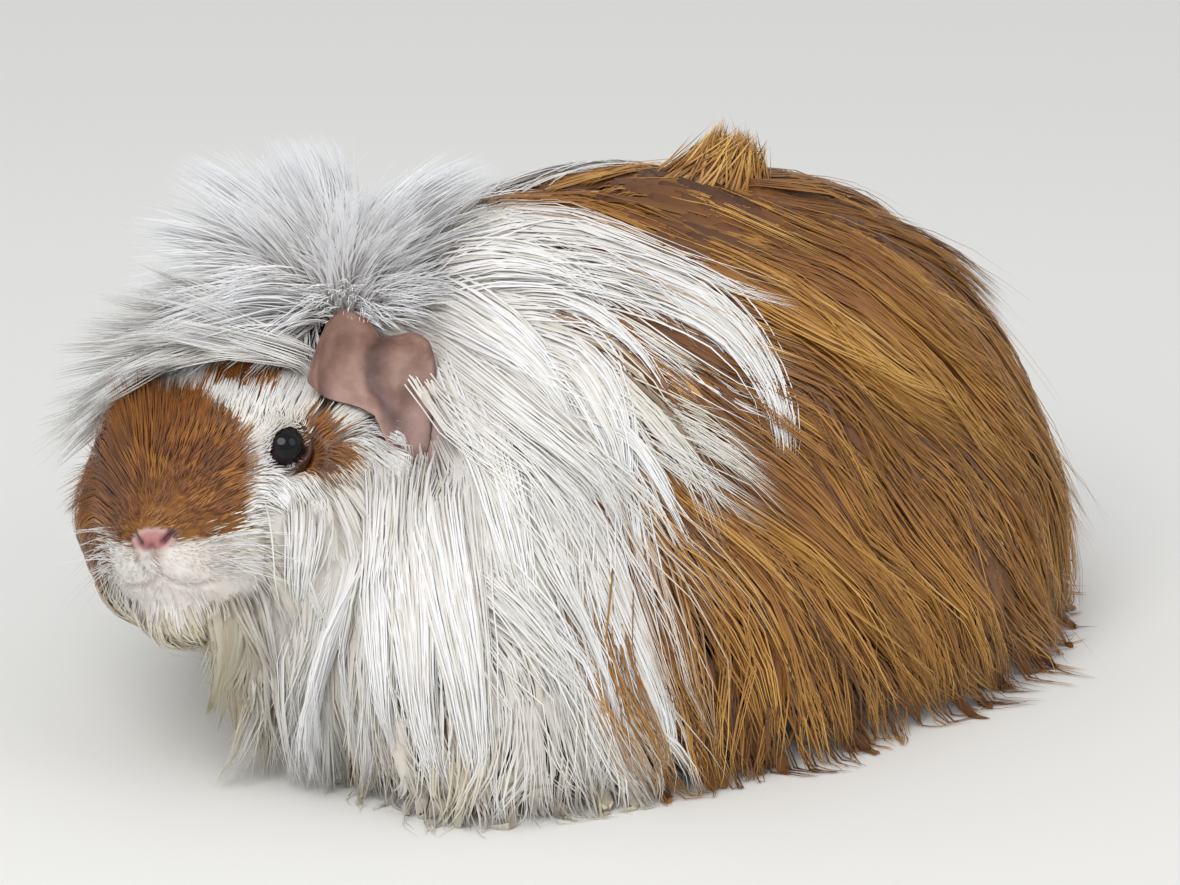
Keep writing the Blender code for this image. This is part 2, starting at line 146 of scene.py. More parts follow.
def points_of(mesh):
    flat = np.empty(3 * len(mesh.vertices))
    mesh.vertices.foreach_get("co", flat)
    return flat.reshape(-1, 3)


def normals_of(mesh):
    flat = np.empty(3 * len(mesh.vertices), np.float32)
    mesh.vertex_normals.foreach_get("vector", flat)
    return flat.reshape(-1, 3).astype(float)


def set_points(mesh, points):
    mesh.vertices.foreach_set("co", points.astype(np.float32).ravel())
    mesh.update()


def tree_of(mesh):
    bm = bmesh.new()
    bm.from_mesh(mesh)
    bmesh.ops.triangulate(bm, faces=bm.faces)
    tree = BVHTree.FromBMesh(bm)
    normals = np.array([sum((v.normal for v in f.verts), Vector()).normalized() for f in bm.faces])
    areas = np.array([f.calc_area() for f in bm.faces])
    corners = np.array([[v.co for v in f.verts] for f in bm.faces])
    bm.free()
    return tree, normals, areas, corners


FLESH_OF_HEAD = ("head", "lower_jaw", "nose")
FLESH_OF_BODY = ("neck", "shoulders", "trunk", "hindquarters")
outer = fused("outer_shape", [nodes[n].data for n in FLESH_OF_HEAD + FLESH_OF_BODY], 2.5 * MM, 6)
outer_tree, outer_normals, outer_areas, outer_corners = tree_of(outer)
head_tree = tree_of(fused("head_shape", [nodes[n].data for n in FLESH_OF_HEAD], 2.5 * MM, 4))[0]
print("outer surface:", len(outer.polygons), "faces,", round(outer_areas.sum() / MM**2 / 100), "square cm")

# %% [markdown]
# Under long hair a guinea pig is a much slimmer animal. The skin is the surface that the hair grows from:
# the head shrunk by the depth of its fur, a barrel of a body that lies well inside the skirt of hair,
# and the four legs.

# %% The flesh under the coat
def ball(centre, radii, turn=0.0):
    """An egg-shaped volume, in millimetres, turned about the upright axis by so many degrees."""
    bm = bmesh.new()
    bmesh.ops.create_uvsphere(bm, u_segments=48, v_segments=24, radius=1.0)
    place = Matrix.Translation(Vector(centre) * MM) @ Matrix.Rotation(math.radians(turn), 4, "Z")
    bmesh.ops.transform(bm, matrix=place @ Matrix.Diagonal((*(MM * r for r in radii), 1.0)), verts=bm.verts)
    mesh = bpy.data.meshes.new("flesh")
    bm.to_mesh(mesh)
    bm.free()
    return mesh


def fur_depth(places):
    """How deep the fur is over each part of the head, in millimetres."""
    behind, _, above = places.T
    depth = 1.4 + 1.6 * step(6, 20, behind) + 2.5 * step(22, 48, behind) + 5.0 * step(50, 80, behind)
    return depth + 4.0 * step(24, 46, behind) * step(4, -18, above)


head_flesh = fused("head_flesh", [nodes[n].data for n in FLESH_OF_HEAD], 1.5 * MM, 5)
head_skin = points_of(head_flesh)
head_skin -= normals_of(head_flesh) * fur_depth(head_places(head_skin))[:, None] * MM
set_points(head_flesh, head_skin)

# Centre and radii of each volume in millimetres, and its turn in degrees.
BARREL = (
    ((62, 0, 54), (50, 50, 44), 0),
    ((22, 0, 58), (56, 52, 48), 0),
    ((-30, 2, 60), (44, 44, 42), 0),
    ((-54, 4, 68), (26, 28, 29), 20),
)
barrel = [ball(*part) for part in BARREL]
LEGS = ("foreleg_left", "foreleg_right", "hindleg_left", "hindleg_right")
flesh = [head_flesh, *barrel, *(nodes[leg].data for leg in LEGS)]
skin_mesh = fused("skin", flesh, 1.5 * MM, 3)
print("the skin starts with", len(skin_mesh.polygons), "faces")

# %% [markdown]
# The face needs finer faces than the flanks. Edges are cut in two only where a feature will be shaped:
# once over the muzzle and the brows, and once more round the eyes, the nose and the mouth.

# %% Finer faces for the face
EYES = {side: head_places([middle("eye_" + side)])[0] for side in ("left", "right")}
FACE_END = 46.0
EYE_REACH = 11.0
NOSE_REACH = 14.0


def refine(bm, wanted):
    """Cuts every edge of the faces whose middle is wanted."""
    middles = head_places([f.calc_center_median() for f in bm.faces])
    chosen = [f for f, keep in zip(bm.faces, wanted(middles)) if keep]
    edges = {e for f in chosen for e in f.edges}
    bmesh.ops.subdivide_edges(bm, edges=list(edges), cuts=1, use_grid_fill=True, smooth=0.0)
    bmesh.ops.triangulate(bm, faces=[f for f in bm.faces if len(f.verts) > 4])


def on_face(places):
    behind, left, above = places.T
    return (behind < FACE_END) & (abs(left) < 48) & (above > -45) & (above < 40)


def near_features(places):
    by_eye = [np.linalg.norm(places - EYES[side], axis=1) < EYE_REACH for side in EYES]
    by_nose = np.linalg.norm(places - np.array((4.0, 0.0, -7.0)), axis=1) < NOSE_REACH
    return by_eye[0] | by_eye[1] | by_nose


bm = bmesh.new()
bm.from_mesh(skin_mesh)
refine(bm, on_face)
refine(bm, near_features)
bmesh.ops.smooth_vert(bm, verts=bm.verts, factor=0.5, use_axis_x=True, use_axis_y=True, use_axis_z=True)
bm.to_mesh(skin_mesh)
bm.free()
print("with a finer face:", len(skin_mesh.polygons), "faces")

# %% [markdown]
# The muzzle of a guinea pig is blunt and split: two comma-shaped nostrils over a bare pad, a groove
# down to the lip, and a full cushion for the whiskers on each side. Each is a soft push in or out along
# the surface, like thumb marks in clay.

# %% Muzzle, nostrils, lips and brows
def along_line(places, start, end):
    """The distance of each place from a line on the front of the face, in millimetres."""
    a, b = np.array(start, float), np.array(end, float)
    flat = places[:, 1:]
    share = np.clip(((flat - a) @ (b - a)) / ((b - a) @ (b - a)), 0, 1)
    return np.linalg.norm(flat - (a + share[:, None] * (b - a)), axis=1)


NOSE_MIDDLE = 1.6


def nostril(places, out):
    """How far each place is from the slit of one nostril: out is 1 for the left one and -1 for the right."""
    return along_line(places, (NOSE_MIDDLE + out * 2.6, -0.2), (NOSE_MIDDLE + out * 4.2, 1.5))


PHILTRUM = ((NOSE_MIDDLE, -1.0), (NOSE_MIDDLE, -9.0))
MOUTH = (((0.0, -9.0), (5.0, -12.0)), ((5.0, -12.0), (10.0, -12.5)))


def mouth_line(places):
    centred = places - (0, NOSE_MIDDLE, 0)
    halves = [along_line(centred * (1, s, 1), a, b) for s in (1, -1) for a, b in MOUTH]
    return np.minimum.reduce(halves)


def face_relief(places):
    """How far each place moves out of the face, in millimetres."""
    behind, left, above = places.T
    front = step(20, 12, behind)
    aside = abs(left)
    relief = 1.3 * bump(np.hypot(aside - 7.5, above + 7.5), 5.5) * front
    relief += 0.9 * bump(np.hypot((left - NOSE_MIDDLE) / 1.7, above - 0.8), 3.0) * front
    for out in (1, -1):
        relief -= 1.7 * bump(nostril(places, out), 0.8) * front
        relief += 0.5 * bump(nostril(places - (0, 0, 1.7), out), 0.9) * front
    relief -= 1.3 * bump(along_line(places, *PHILTRUM), 0.75) * front
    relief -= 1.5 * bump(mouth_line(places), 0.8) * front
    relief += 0.7 * bump(np.hypot(left / 1.8, above + 15.2), 2.4) * front
    for side in EYES:
        away = places - EYES[side]
        relief += 1.6 * bump(np.linalg.norm(away - (-2.0, 0.0, 8.5), axis=1), 5.0)
        relief += 0.9 * bump(np.linalg.norm(away - (1.0, 0.0, -8.0), axis=1), 4.5)
    return relief


places = head_places(points_of(skin_mesh))
shaped = points_of(skin_mesh) + normals_of(skin_mesh) * face_relief(places)[:, None] * MM
set_points(skin_mesh, shaped)

# %% [markdown]
# The eye bulges out of the side of the head, set about half its depth, and the lids are two
# thin rolls of bare skin that hug it. Round each eye the skin follows a profile that is measured from
# the axis of the eye: behind the ball in the middle, a roll at the rim, and then out to the cheek.

# %% Sockets and lids
EYE_RADIUS = 5.0
# Distance from the axis of the eye, and height along it, in millimetres.
LID_PROFILE = (
    (0.0, 0.0), (4.4, 0.8), (4.55, 2.5), (4.85, 3.2), (5.3, 3.5),
    (5.8, 3.1), (6.6, 1.9), (7.6, -0.2), (9.5, -3.5),
)
LID_EDGE = 5.8
LID_REACH = 9.5
TEAR_CORNER = 0.6


def eye_axis(side):
    """The way that the eye looks: mostly to the side, a little forwards and up."""
    out = 1 if side == "left" else -1
    return np.array((-0.5, out * 0.82, 0.24)) / np.linalg.norm((0.5, 0.82, 0.24))


def eye_round(places, side):
    """Each place's distance from the eye's axis, scaled to the shape of the opening, and height along it."""
    away = places - EYES[side]
    axis = eye_axis(side)
    height = away @ axis
    flat = away - height[:, None] * axis
    across = np.cross((0, 0, 1), axis)
    across /= np.linalg.norm(across)
    over = np.cross(axis, across)
    angle = np.arctan2(flat @ over, (flat @ across) * (1 if side == "left" else -1))
    opening = 1.0 + 0.05 * np.cos(2 * angle) + 0.3 * bump(angle + TEAR_CORNER, 0.6)
    return np.linalg.norm(flat, axis=1) / opening, height


def set_lids(mesh, side):
    points = points_of(mesh)
    places = head_places(points)
    share, height = eye_round(places, side)
    wanted = np.interp(share, *zip(*LID_PROFILE))
    wanted = np.where(share > LID_EDGE, np.maximum(wanted, height), wanted)
    blend = step(LID_REACH, 7.0, share) * (height > -9)
    moved = places + eye_axis(side) * (blend * (wanted - height))[:, None]
    set_points(mesh, moved @ HEAD_AXES * MM + np.array(NOSE_TIP))


def over_lids(points):
    """Lifts hair that would lie inside the lids onto them."""
    places = head_places(points)
    for side in EYES:
        share, height = eye_round(places, side)
        wanted = np.interp(share, *zip(*LID_PROFILE)) + 0.4
        lift = step(LID_REACH, 7.0, share) * (height > -9) * np.maximum(wanted - height, 0)
        places = places + eye_axis(side) * lift[:, None]
    return places @ HEAD_AXES * MM + np.array(NOSE_TIP)


for side in EYES:
    set_lids(skin_mesh, side)

# %% [markdown]
# The ears are thin, bare petals. Each starts from the plain ear of the solid model, is divided into
# small faces, and gets the folds of a real one: a rolled rim, a long hollow and a crease between its
# two lobes. The fold and the hollows are also painted darker, as the shade that falls in them, and so is the
# rim, partly as painted shade and partly as the ear's own darker edge. A Boolean union then grows it out of
# the skin with no seam.

# %% Ears that grow out of the skin
def finer_ear(name):
    bm = bmesh.new()
    bm.from_mesh(nodes[name].data)
    bmesh.ops.remove_doubles(bm, verts=bm.verts, dist=0.01 * MM)
    rough = bpy.data.meshes.new(name + "_fine")
    bm.to_mesh(rough)
    bm.free()
    obj = new_object(name + "_fine", rough)
    divide = obj.modifiers.new("divide", "SUBSURF")
    divide.levels = divide.render_levels = 2
    mesh = shaped_mesh(obj)
    bpy.data.objects.remove(obj)
    return mesh


# Places round the edge, as shares of the width from front to back and of the height.
EAR_OUTLINE = (
    (0.74, 0), (0.54, 0.1), (0.4, 0.3), (0.12, 0.4), (0.02, 0.5), (0.0, 0.68), (0.08, 0.88),
    (0.22, 1.02), (0.4, 1.06), (0.56, 0.97), (0.66, 0.82), (0.72, 0.79), (0.85, 0.81), (0.97, 0.72),
    (1.0, 0.56), (0.96, 0.4), (0.9, 0.2), (0.83, 0.04),
)
EAR_MIDDLE = (0.55, 0.5)
EAR_SECTORS = 36


def polar(edge):
    """The turn and radius of each place of an outline, in order of turn."""
    turns = np.arctan2(edge[:, 1], edge[:, 0])
    order = np.argsort(turns)
    return turns[order], np.hypot(edge[:, 0], edge[:, 1])[order]


def fold_ear(mesh):
    """Pushes the hollows and the fold between the lobes into the petal, and returns the painted shade of each
    point.
    """
    points = points_of(mesh)
    centre = points.mean(0)
    thin = np.linalg.svd(points - centre, full_matrices=False)[2][2]
    thin *= np.sign(thin @ np.array((0, -1.0, 0)) * (1 if centre[1] < 0.0 else -1))
    back = np.array(BACK) - thin * (thin @ np.array(BACK))
    back /= np.linalg.norm(back)
    high = np.array((0, 0, 1.0)) - thin * thin[2]
    high -= back * (high @ back)
    high /= np.linalg.norm(high)
    b, h = (points - centre) @ back / MM, (points - centre) @ high / MM
    wide, tall = np.ptp(b), np.ptp(h)
    b, h = (b - b.min()) / wide, (h - h.min()) / tall
    mid_b, mid_h = EAR_MIDDLE
    turn, radius = np.arctan2(h - mid_h, b - mid_b), np.hypot(b - mid_b, h - mid_h)
    slots = np.linspace(-math.pi, math.pi, EAR_SECTORS + 1)
    which = np.clip(np.digitize(turn, slots) - 1, 0, EAR_SECTORS - 1)
    reach = np.array([radius[which == k].max(initial=0.2) for k in range(EAR_SECTORS)])
    reach = (reach + 0.5 * np.roll(reach, 1) + 0.5 * np.roll(reach, -1)) / 2
    middles = (slots[1:] + slots[:-1]) / 2
    edge = np.array(EAR_OUTLINE) - EAR_MIDDLE
    wanted = np.interp(turn, *polar(edge), period=2 * math.pi)
    ratio = np.clip(wanted / np.interp(turn, middles, reach, period=2 * math.pi), 0.6, 1.5)
    new_b, new_h = mid_b + (b - mid_b) * ratio, mid_h + (h - mid_h) * ratio
    fold = new_b - np.interp(new_h, (0.2, 0.5, 0.8), (0.66, 0.61, 0.72))
    along_fold = step(0.3, 0.5, new_h)
    outward = np.hypot(new_b - mid_b, new_h - mid_h) / wanted
    rear_hollow = bump(np.hypot(new_b - 0.86, new_h - 0.5), 0.17)
    pocket = bump(np.hypot(new_b - 0.13, (new_h - 0.56) / 1.4), 0.11)
    push = 3.0 * step(-0.01, 0.09, fold) * along_fold - 2.2 * bump(fold + 0.03, 0.07) * along_fold
    push -= 4.5 * bump(np.hypot(new_b - 0.36, new_h - 0.7), 0.27) + 3.0 * rear_hollow
    push -= 2.4 * pocket - 1.3 * bump(outward - 0.9, 0.14)
    moved = (new_b - b)[:, None] * wide * back + (new_h - h)[:, None] * tall * high
    points += (moved + push[:, None] * thin) * MM
    set_points(mesh, points)
    # Painted shade: the fold, the pocket and the two hollows are darkened as shade falls in them, and the rim
    # is darker, partly painted shade and partly its own colour.
    painted_shade = np.maximum(bump(fold + 0.02, 0.075) * step(0.12, 0.35, new_h), 0.8 * pocket)
    painted_shade = np.maximum(painted_shade, 0.75 * step(0.9, 0.98, outward) * step(0.15, 0.35, new_h))
    front_hollow = bump(np.hypot(new_b - 0.36, new_h - 0.82), 0.2)
    return np.clip(painted_shade + 0.3 * rear_hollow + 0.25 * front_hollow, 0, 1)


ear_meshes = {side: finer_ear("ear_" + side) for side in ("left", "right")}
ear_fold_painted_shades = {side: fold_ear(mesh) for side, mesh in ear_meshes.items()}
skin = new_object("skin", skin_mesh)
for side, mesh in ear_meshes.items():
    ear = new_object("ear_cutter", mesh)
    grow = skin.modifiers.new("grow", "BOOLEAN")
    grow.operation = "UNION"
    grow.solver = "EXACT"
    grow.object = ear
    grown = shaped_mesh(skin)
    skin.modifiers.clear()
    skin.data = grown
    bpy.data.objects.remove(ear)
skin_mesh = skin.data
skin_mesh.name = "skin"
ear_tree = {side: tree_of(mesh)[0] for side, mesh in ear_meshes.items()}
print("skin with its ears:", len(skin_mesh.polygons), "faces")


def distances(tree, points):
    return np.array([tree.find_nearest(p)[3] for p in points.tolist()])


def ear_distance(points):
    return np.minimum(distances(ear_tree["left"], points), distances(ear_tree["right"], points))


skin_points = points_of(skin_mesh)
ear_share = step(0.7 * MM, 0.2 * MM, ear_distance(skin_points))
ear_fold_painted_shade = np.zeros(len(skin_points))
for side, mesh in ear_meshes.items():
    spots = points_of(mesh)
    near = KDTree(len(spots))
    for i, spot in enumerate(spots.tolist()):
        near.insert(spot, i)
    near.balance()
    for i in np.flatnonzero(distances(ear_tree[side], skin_points) < 0.3 * MM):
        ear_fold_painted_shade[i] = ear_fold_painted_shades[side][near.find(skin_points[i])[1]]

# %% [markdown]
# The coat is two-coloured: white over the head, neck and shoulders, and ginger behind them. The face has
# a darker ginger mask over the nose and the far cheek, with smaller patches at the brow and round the eye.
# One function says what colour grows at a place, and the skin and every hair ask it.

# %% Where each colour grows
def markings(points, on_head):
    """For each point: the share of ginger, and the share of that which is the dark ginger of the mask."""
    x, y, z = (np.asarray(points) / MM).T
    places = head_places(points)
    ragged = wander(places, 17.0, 3)
    fine = wander(places, 7.0, 4)
    behind, left, above = places.T
    near_edge = np.interp(behind, (0, 5, 11, 18, 25, 28, 31), (6, 11, 16, 18.5, 16.5, 13, 4)) + 0.9 * fine
    mask = step(near_edge + 0.9, near_edge - 0.9, left) * step(33, 31, behind + fine)
    floor = np.where(left > -4, -2.5, np.interp(behind, (0, 14, 18, 40), (-1.5, -3.0, -15.0, -16.0)))
    mask *= step(floor - 1.5, floor + 1.5, above + 1.2 * fine)
    brow_line = np.interp(left, (2, 18), (36, 40))
    brow = bump(behind - brow_line, 3.0) * step(-1, 3, left) * step(20, 17, left) * (above > 16)
    eye_patch = np.zeros(len(x))
    for side in EYES:
        middle_of_patch = EYES[side] + (3.0, math.copysign(5.0, EYES[side][1]), -1.5)
        away = np.linalg.norm(places - middle_of_patch, axis=1)
        eye_patch = np.maximum(eye_patch, step(7.4, 6.0, away + 0.6 * fine))
    face = np.clip(np.maximum(np.maximum(mask, step(0.35, 0.6, brow)), eye_patch), 0, 1)
    border = np.interp(z, (0, 30, 60, 90, 120), (-22, -24, -30, -33, -30)) + 4 * ragged + 2 * fine
    body = step(border - 3, border + 3, x)
    streak = step(0.6, 0.8, bump(x - (-38 + 0.1 * (z - 60)), 5.0))
    streak = streak * step(30, 50, z) * step(95, 80, z) * (y < 0)
    body = np.maximum(body, 0.8 * streak)
    ginger = np.where(on_head > 0.5, face, body)
    return ginger, np.where(on_head > 0.5, face, 0.0)


def cream_and_throat_shade(points, on_head):
    """How cream and dark the white hair is: at the throat, where this is partly painted shade, low on the
    sides and here and there.
    """
    _, left, above = head_places(points).T
    throat = step(-13, -19, above) * step(24, 10, left) * (on_head > 0.5)
    low = 0.35 * step(45, 15, points[:, 2] / MM) + 0.3 * np.clip(wander(points / MM, 26.0, 6), 0, 1)
    return np.clip(np.maximum(0.75 * throat, low), 0, 1)


def head_share(points):
    return (distances(head_tree, np.asarray(points)) < 1.5 * MM).astype(float)


# %% [markdown]
# Colours are given as the hex values that a colour picker shows, and one function turns them to the
# linear values that a shader mixes. One more function adds a node, with its settings and its links.

# %% Helpers for materials
def linear(hex_colour):
    parts = [int(hex_colour[i : i + 2], 16) / 255 for i in (1, 3, 5)]
    return (*(p / 12.92 if p <= 0.04045 else ((p + 0.055) / 1.055) ** 2.4 for p in parts), 1.0)


def add_node(material, kind, settings=(), links=()):
    """Adds a node. A setting's key is a property's or a socket's name, and a link is (socket, output)."""
    node = material.node_tree.nodes.new(kind)
    for key, value in dict(settings).items():
        if isinstance(key, str) and hasattr(node, key):
            setattr(node, key, value)
        else:
            node.inputs[key].default_value = value
    for socket, output in dict(links).items():
        material.node_tree.links.new(output, node.inputs[socket])
    return node


def new_material(name, **settings):
    material = bpy.data.materials.new(name)
    material.use_nodes = True
    shader = material.node_tree.nodes["Principled BSDF"]
    for socket, value in settings.items():
        shader.inputs[socket.replace("_", " ")].default_value = value
    return material, shader


def ramp(material, factor, stops):
    """A colour ramp over the factor, through (place, hex colour) stops."""
    node = add_node(material, "ShaderNodeValToRGB", links={0: factor})
    while len(node.color_ramp.elements) < len(stops):
        node.color_ramp.elements.new(0.5)
    for element, (place, colour) in zip(node.color_ramp.elements, stops):
        element.position = place
        element.color = linear(colour)
    return node.outputs["Color"]


def attribute(material, name):
    return add_node(material, "ShaderNodeAttribute", {"attribute_name": name}).outputs["Fac"]


def mixed(material, factor, first, second, blend="MIX"):
    settings = {"data_type": "RGBA", "blend_type": blend}
    node = add_node(material, "ShaderNodeMix", settings)
    tree = material.node_tree
    for socket, value in ((0, factor), (6, first), (7, second)):
        if isinstance(value, (int, float, tuple)):
            node.inputs[socket].default_value = value
        else:
            tree.links.new(value, node.inputs[socket])
    return node.outputs[2]


# %% [markdown]
# Hair is keratin: a clear, slightly glossy fibre whose colour comes from pigment inside. White hair has none.
# Every hair is painted darker towards its root, as the shade deep in the coat, and ginger hair more so.
# Each hair carries its numbers: how ginger and how cream it is, whether it belongs to the dark mask, its own
# random tone, and the place along it, which sets that painted shade.

# %% Keratin hair
HAIR_IOR = 1.55
HAIR_LOOK = {"Roughness": 0.5, "IOR": HAIR_IOR, "Sheen_Weight": 0.06, "Sheen_Roughness": 0.5}
hair, shader = new_material("keratin_hair", **HAIR_LOOK)
tone = attribute(hair, "tone")
along = attribute(hair, "along")
white = ramp(hair, tone, ((0.1, "#D2CEC4"), (0.4, "#E2E0DC"), (0.9, "#ECECEE")))
# The cream is darker as well as yellower; at the throat that darkness is partly painted shade under the chin.
cream = ramp(hair, tone, ((0.1, "#B8A882"), (0.5, "#D6CAA6"), (0.9, "#E8E0C8")))
white = mixed(hair, attribute(hair, "cream"), white, cream)
ginger = ramp(hair, tone, ((0.05, "#573410"), (0.35, "#8C5C1E"), (0.65, "#B6822F"), (0.95, "#DEB262")))
mask = ramp(hair, tone, ((0.1, "#5E3609"), (0.5, "#8A5010"), (0.9, "#AE7420")))
warm = mixed(hair, attribute(hair, "mask"), ginger, mask)
pigment = mixed(hair, attribute(hair, "ginger"), white, warm)
# Painted shade: every hair is darkened towards its root, as the shade deep in the coat, ginger hair more
# strongly.
white_hair_root_painted_shade = ramp(hair, along, ((0.0, "#D6D1CC"), (0.3, "#F0EDEA"), (0.8, "#FFFFFF")))
ginger_hair_root_painted_shade = ramp(hair, along, ((0.0, "#957C62"), (0.35, "#D8C8B4"), (0.8, "#FFFFFF")))
painted_shade = mixed(hair, attribute(hair, "ginger"), white_hair_root_painted_shade, ginger_hair_root_painted_shade)
colour = mixed(hair, 1.0, pigment, painted_shade, "MULTIPLY")
hair.node_tree.links.new(colour, shader.inputs["Base Color"])

# %% [markdown]
# Skin is matt and faintly translucent. It is pale pink where it is bare, a browner pink on the ears,
# and dark at the rims of the eyes, and takes a tint of the fur that grows on it everywhere else. The nostril
# slits and the folds and hollows of the ears are painted darker, as the shade that falls in them.

# %% Bare and furred skin
skin_stuff, shader = new_material("animal_skin", Roughness=0.55, IOR=1.4)
furred = mixed(skin_stuff, attribute(skin_stuff, "ginger"), linear("#D9D3CC"), linear("#84541C"))
BLOTCH_SIZE = 6 * MM
PORE_SIZE = 0.5 * MM
coords = {"Vector": add_node(skin_stuff, "ShaderNodeTexCoord").outputs["Object"]}
blotch = add_node(skin_stuff, "ShaderNodeTexNoise", {"Scale": 1 / BLOTCH_SIZE, "Detail": 4.0}, coords)
bare_pink = ramp(skin_stuff, blotch.outputs["Fac"], ((0.3, "#8E5A5C"), (0.7, "#AC7674")))
ear_pink = ramp(skin_stuff, blotch.outputs["Fac"], ((0.3, "#8A6656"), (0.7, "#B49084")))
colour = mixed(skin_stuff, attribute(skin_stuff, "bare"), furred, bare_pink)
colour = mixed(skin_stuff, attribute(skin_stuff, "ear"), colour, ear_pink)
# The dark mix carries the dark rims of the lids, and painted shade in the nostrils and the folds of the ears.
colour = mixed(skin_stuff, attribute(skin_stuff, "dark"), colour, linear("#3A2A2E"))
skin_stuff.node_tree.links.new(colour, shader.inputs["Base Color"])
pores = add_node(skin_stuff, "ShaderNodeTexNoise", {"Scale": 1 / PORE_SIZE, "Detail": 3.0}, coords)
depth = {"Strength": 0.4, "Distance": 0.2 * MM}
relief = add_node(skin_stuff, "ShaderNodeBump", depth, {"Height": pores.outputs["Fac"]})
skin_stuff.node_tree.links.new(relief.outputs["Normal"], shader.inputs["Normal"])


def set_attribute(mesh, name, values):
    layer = mesh.attributes.new(name, "FLOAT", "POINT")
    layer.data.foreach_set("value", np.ascontiguousarray(values, np.float32))


places = head_places(skin_points)
HEAD_SKIN_END = 62
skin_ginger, _ = markings(skin_points, places[:, 0] < HEAD_SKIN_END)
front = step(18, 10, places[:, 0])
bare = np.maximum.reduce([
    bump(np.hypot((places[:, 1] - NOSE_MIDDLE) / 2.0, places[:, 2] - 0.4), 2.8),
    0.3 * bump(mouth_line(places), 1.4),
    0.45 * bump(along_line(places, *PHILTRUM), 1.4),
]) * front
feet = step(24, 14, skin_points[:, 2] / MM)
ear_feet = bump(np.linalg.norm(np.abs(places) - (61, 39.3, 3.1), axis=1), 15.0)
bare = np.maximum(step(0.25, 0.7, bare), feet)
ear_share = ear_share * (1 - 0.45 * ear_feet)
bare = np.maximum(bare, 0.6 * step(0.1, 0.5, ear_feet))
# The nostril slits are painted dark, as the shade inside them; the folds of the ears add their painted shade
# below.
in_nostril = np.maximum(bump(nostril(places, 1), 0.8), bump(nostril(places, -1), 0.8))
dark = 0.75 * step(0.35, 0.9, in_nostril * front)
for side in EYES:
    radius, height = eye_round(places, side)
    dark = np.maximum(dark, 0.9 * step(6.9, 5.9, radius) * (height > 0))
dark = np.maximum(dark, 0.65 * ear_fold_painted_shade)
shares = {"ginger": skin_ginger * (1 - bare), "bare": bare, "ear": ear_share, "dark": dark}
for name, values in shares.items():
    set_attribute(skin_mesh, name, values)
skin_mesh.materials.clear()
skin_mesh.materials.append(skin_stuff)
skin_mesh.shade_smooth()
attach(skin, "root")
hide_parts(*FLESH_OF_HEAD, *FLESH_OF_BODY, *LEGS, "ear_left", "ear_right", "crest", "back_tuft")

# %% [markdown]
# A rodent's eye is nearly all pupil: a very dark brown iris behind a clear, wet cornea, so it reads as a
# black bead with one sharp highlight. The ball is round, with a fuller cornea on the side it
# looks out.

# %% Eyes
eye_stuff, shader = new_material("wet_dark_eye", Roughness=0.03, IOR=1.34)
looks = attribute(eye_stuff, "iris")
IRIS_COLOURS = ((0.0, "#241A1C"), (0.25, "#2E2022"), (0.45, "#1A1216"), (0.62, "#08070A"), (1.0, "#050508"))
iris = ramp(eye_stuff, looks, IRIS_COLOURS)
eye_stuff.node_tree.links.new(iris, shader.inputs["Base Color"])

for side in EYES:
    bm = bmesh.new()
    bmesh.ops.create_uvsphere(bm, u_segments=48, v_segments=32, radius=EYE_RADIUS * MM)
    for v in bm.verts:
        v.co.z *= 1.0 + 0.05 * (v.co.z > 0) * (v.co.z / (EYE_RADIUS * MM)) ** 2
    axis = Vector(eye_axis(side)[0] * BACK + eye_axis(side)[1] * LEFT + eye_axis(side)[2] * UP)
    iris_share = [max(0.0, v.co.z / (EYE_RADIUS * MM)) for v in bm.verts]
    turn = axis.to_track_quat("Z", "Y").to_matrix().to_4x4()
    bmesh.ops.transform(bm, matrix=Matrix.Translation(middle("eye_" + side)) @ turn, verts=bm.verts)
    mesh = bpy.data.meshes.new("eyeball_" + side)
    bm.to_mesh(mesh)
    bm.free()
    set_attribute(mesh, "iris", np.array(iris_share) ** 2)
    mesh.materials.append(eye_stuff)
    mesh.shade_smooth()
    eyeball = new_object("eyeball_" + side, mesh)
    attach(eyeball, "root")
    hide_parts("eye_" + side)

# %% [markdown]
# Claws are horn: translucent grey-pink keratin, darker at the tip. Here their material is a streaked
# grey-pink, the same to the tip. The solid model's own claws have the right shape.

# %% Claws
horn, shader = new_material("claw_horn", Roughness=0.35, IOR=1.54)
coords = add_node(horn, "ShaderNodeTexCoord").outputs["Object"]
streaks = add_node(horn, "ShaderNodeTexNoise", {"Scale": 1 / (1.5 * MM), "Detail": 2.0}, {"Vector": coords})
colour = ramp(horn, streaks.outputs["Fac"], ((0.35, "#8C7A70"), (0.65, "#C4B2A4")))
horn.node_tree.links.new(colour, shader.inputs["Base Color"])
for name, node in nodes.items():
    if name.startswith("claw"):
        node.data.materials.clear()
        node.data.materials.append(horn)

# %% [markdown]
# Now the coat. Each hair starts at a point on the outer surface and walks over it in short steps, always
# in the direction that hair lies there. The whole walk is done for all hairs at once, one step at a time.

# %% Walking over the surface
def project(points):
    """The nearest point of the outer surface to each point, and the surface's normal there."""
    hits = [outer_tree.find_nearest(p) for p in points.tolist()]
    return np.array([h[0] for h in hits]), outer_normals[[h[2] for h in hits]]


def unit(vectors):
    return vectors / np.maximum(np.linalg.norm(vectors, axis=-1, keepdims=True), 1e-9)


# Centre seen from above and reach, in millimetres, and how strongly the hair turns away from it.
WHORLS = (((-66, -6), 44.0, 2.4), ((40, 2), 20.0, 1.4))


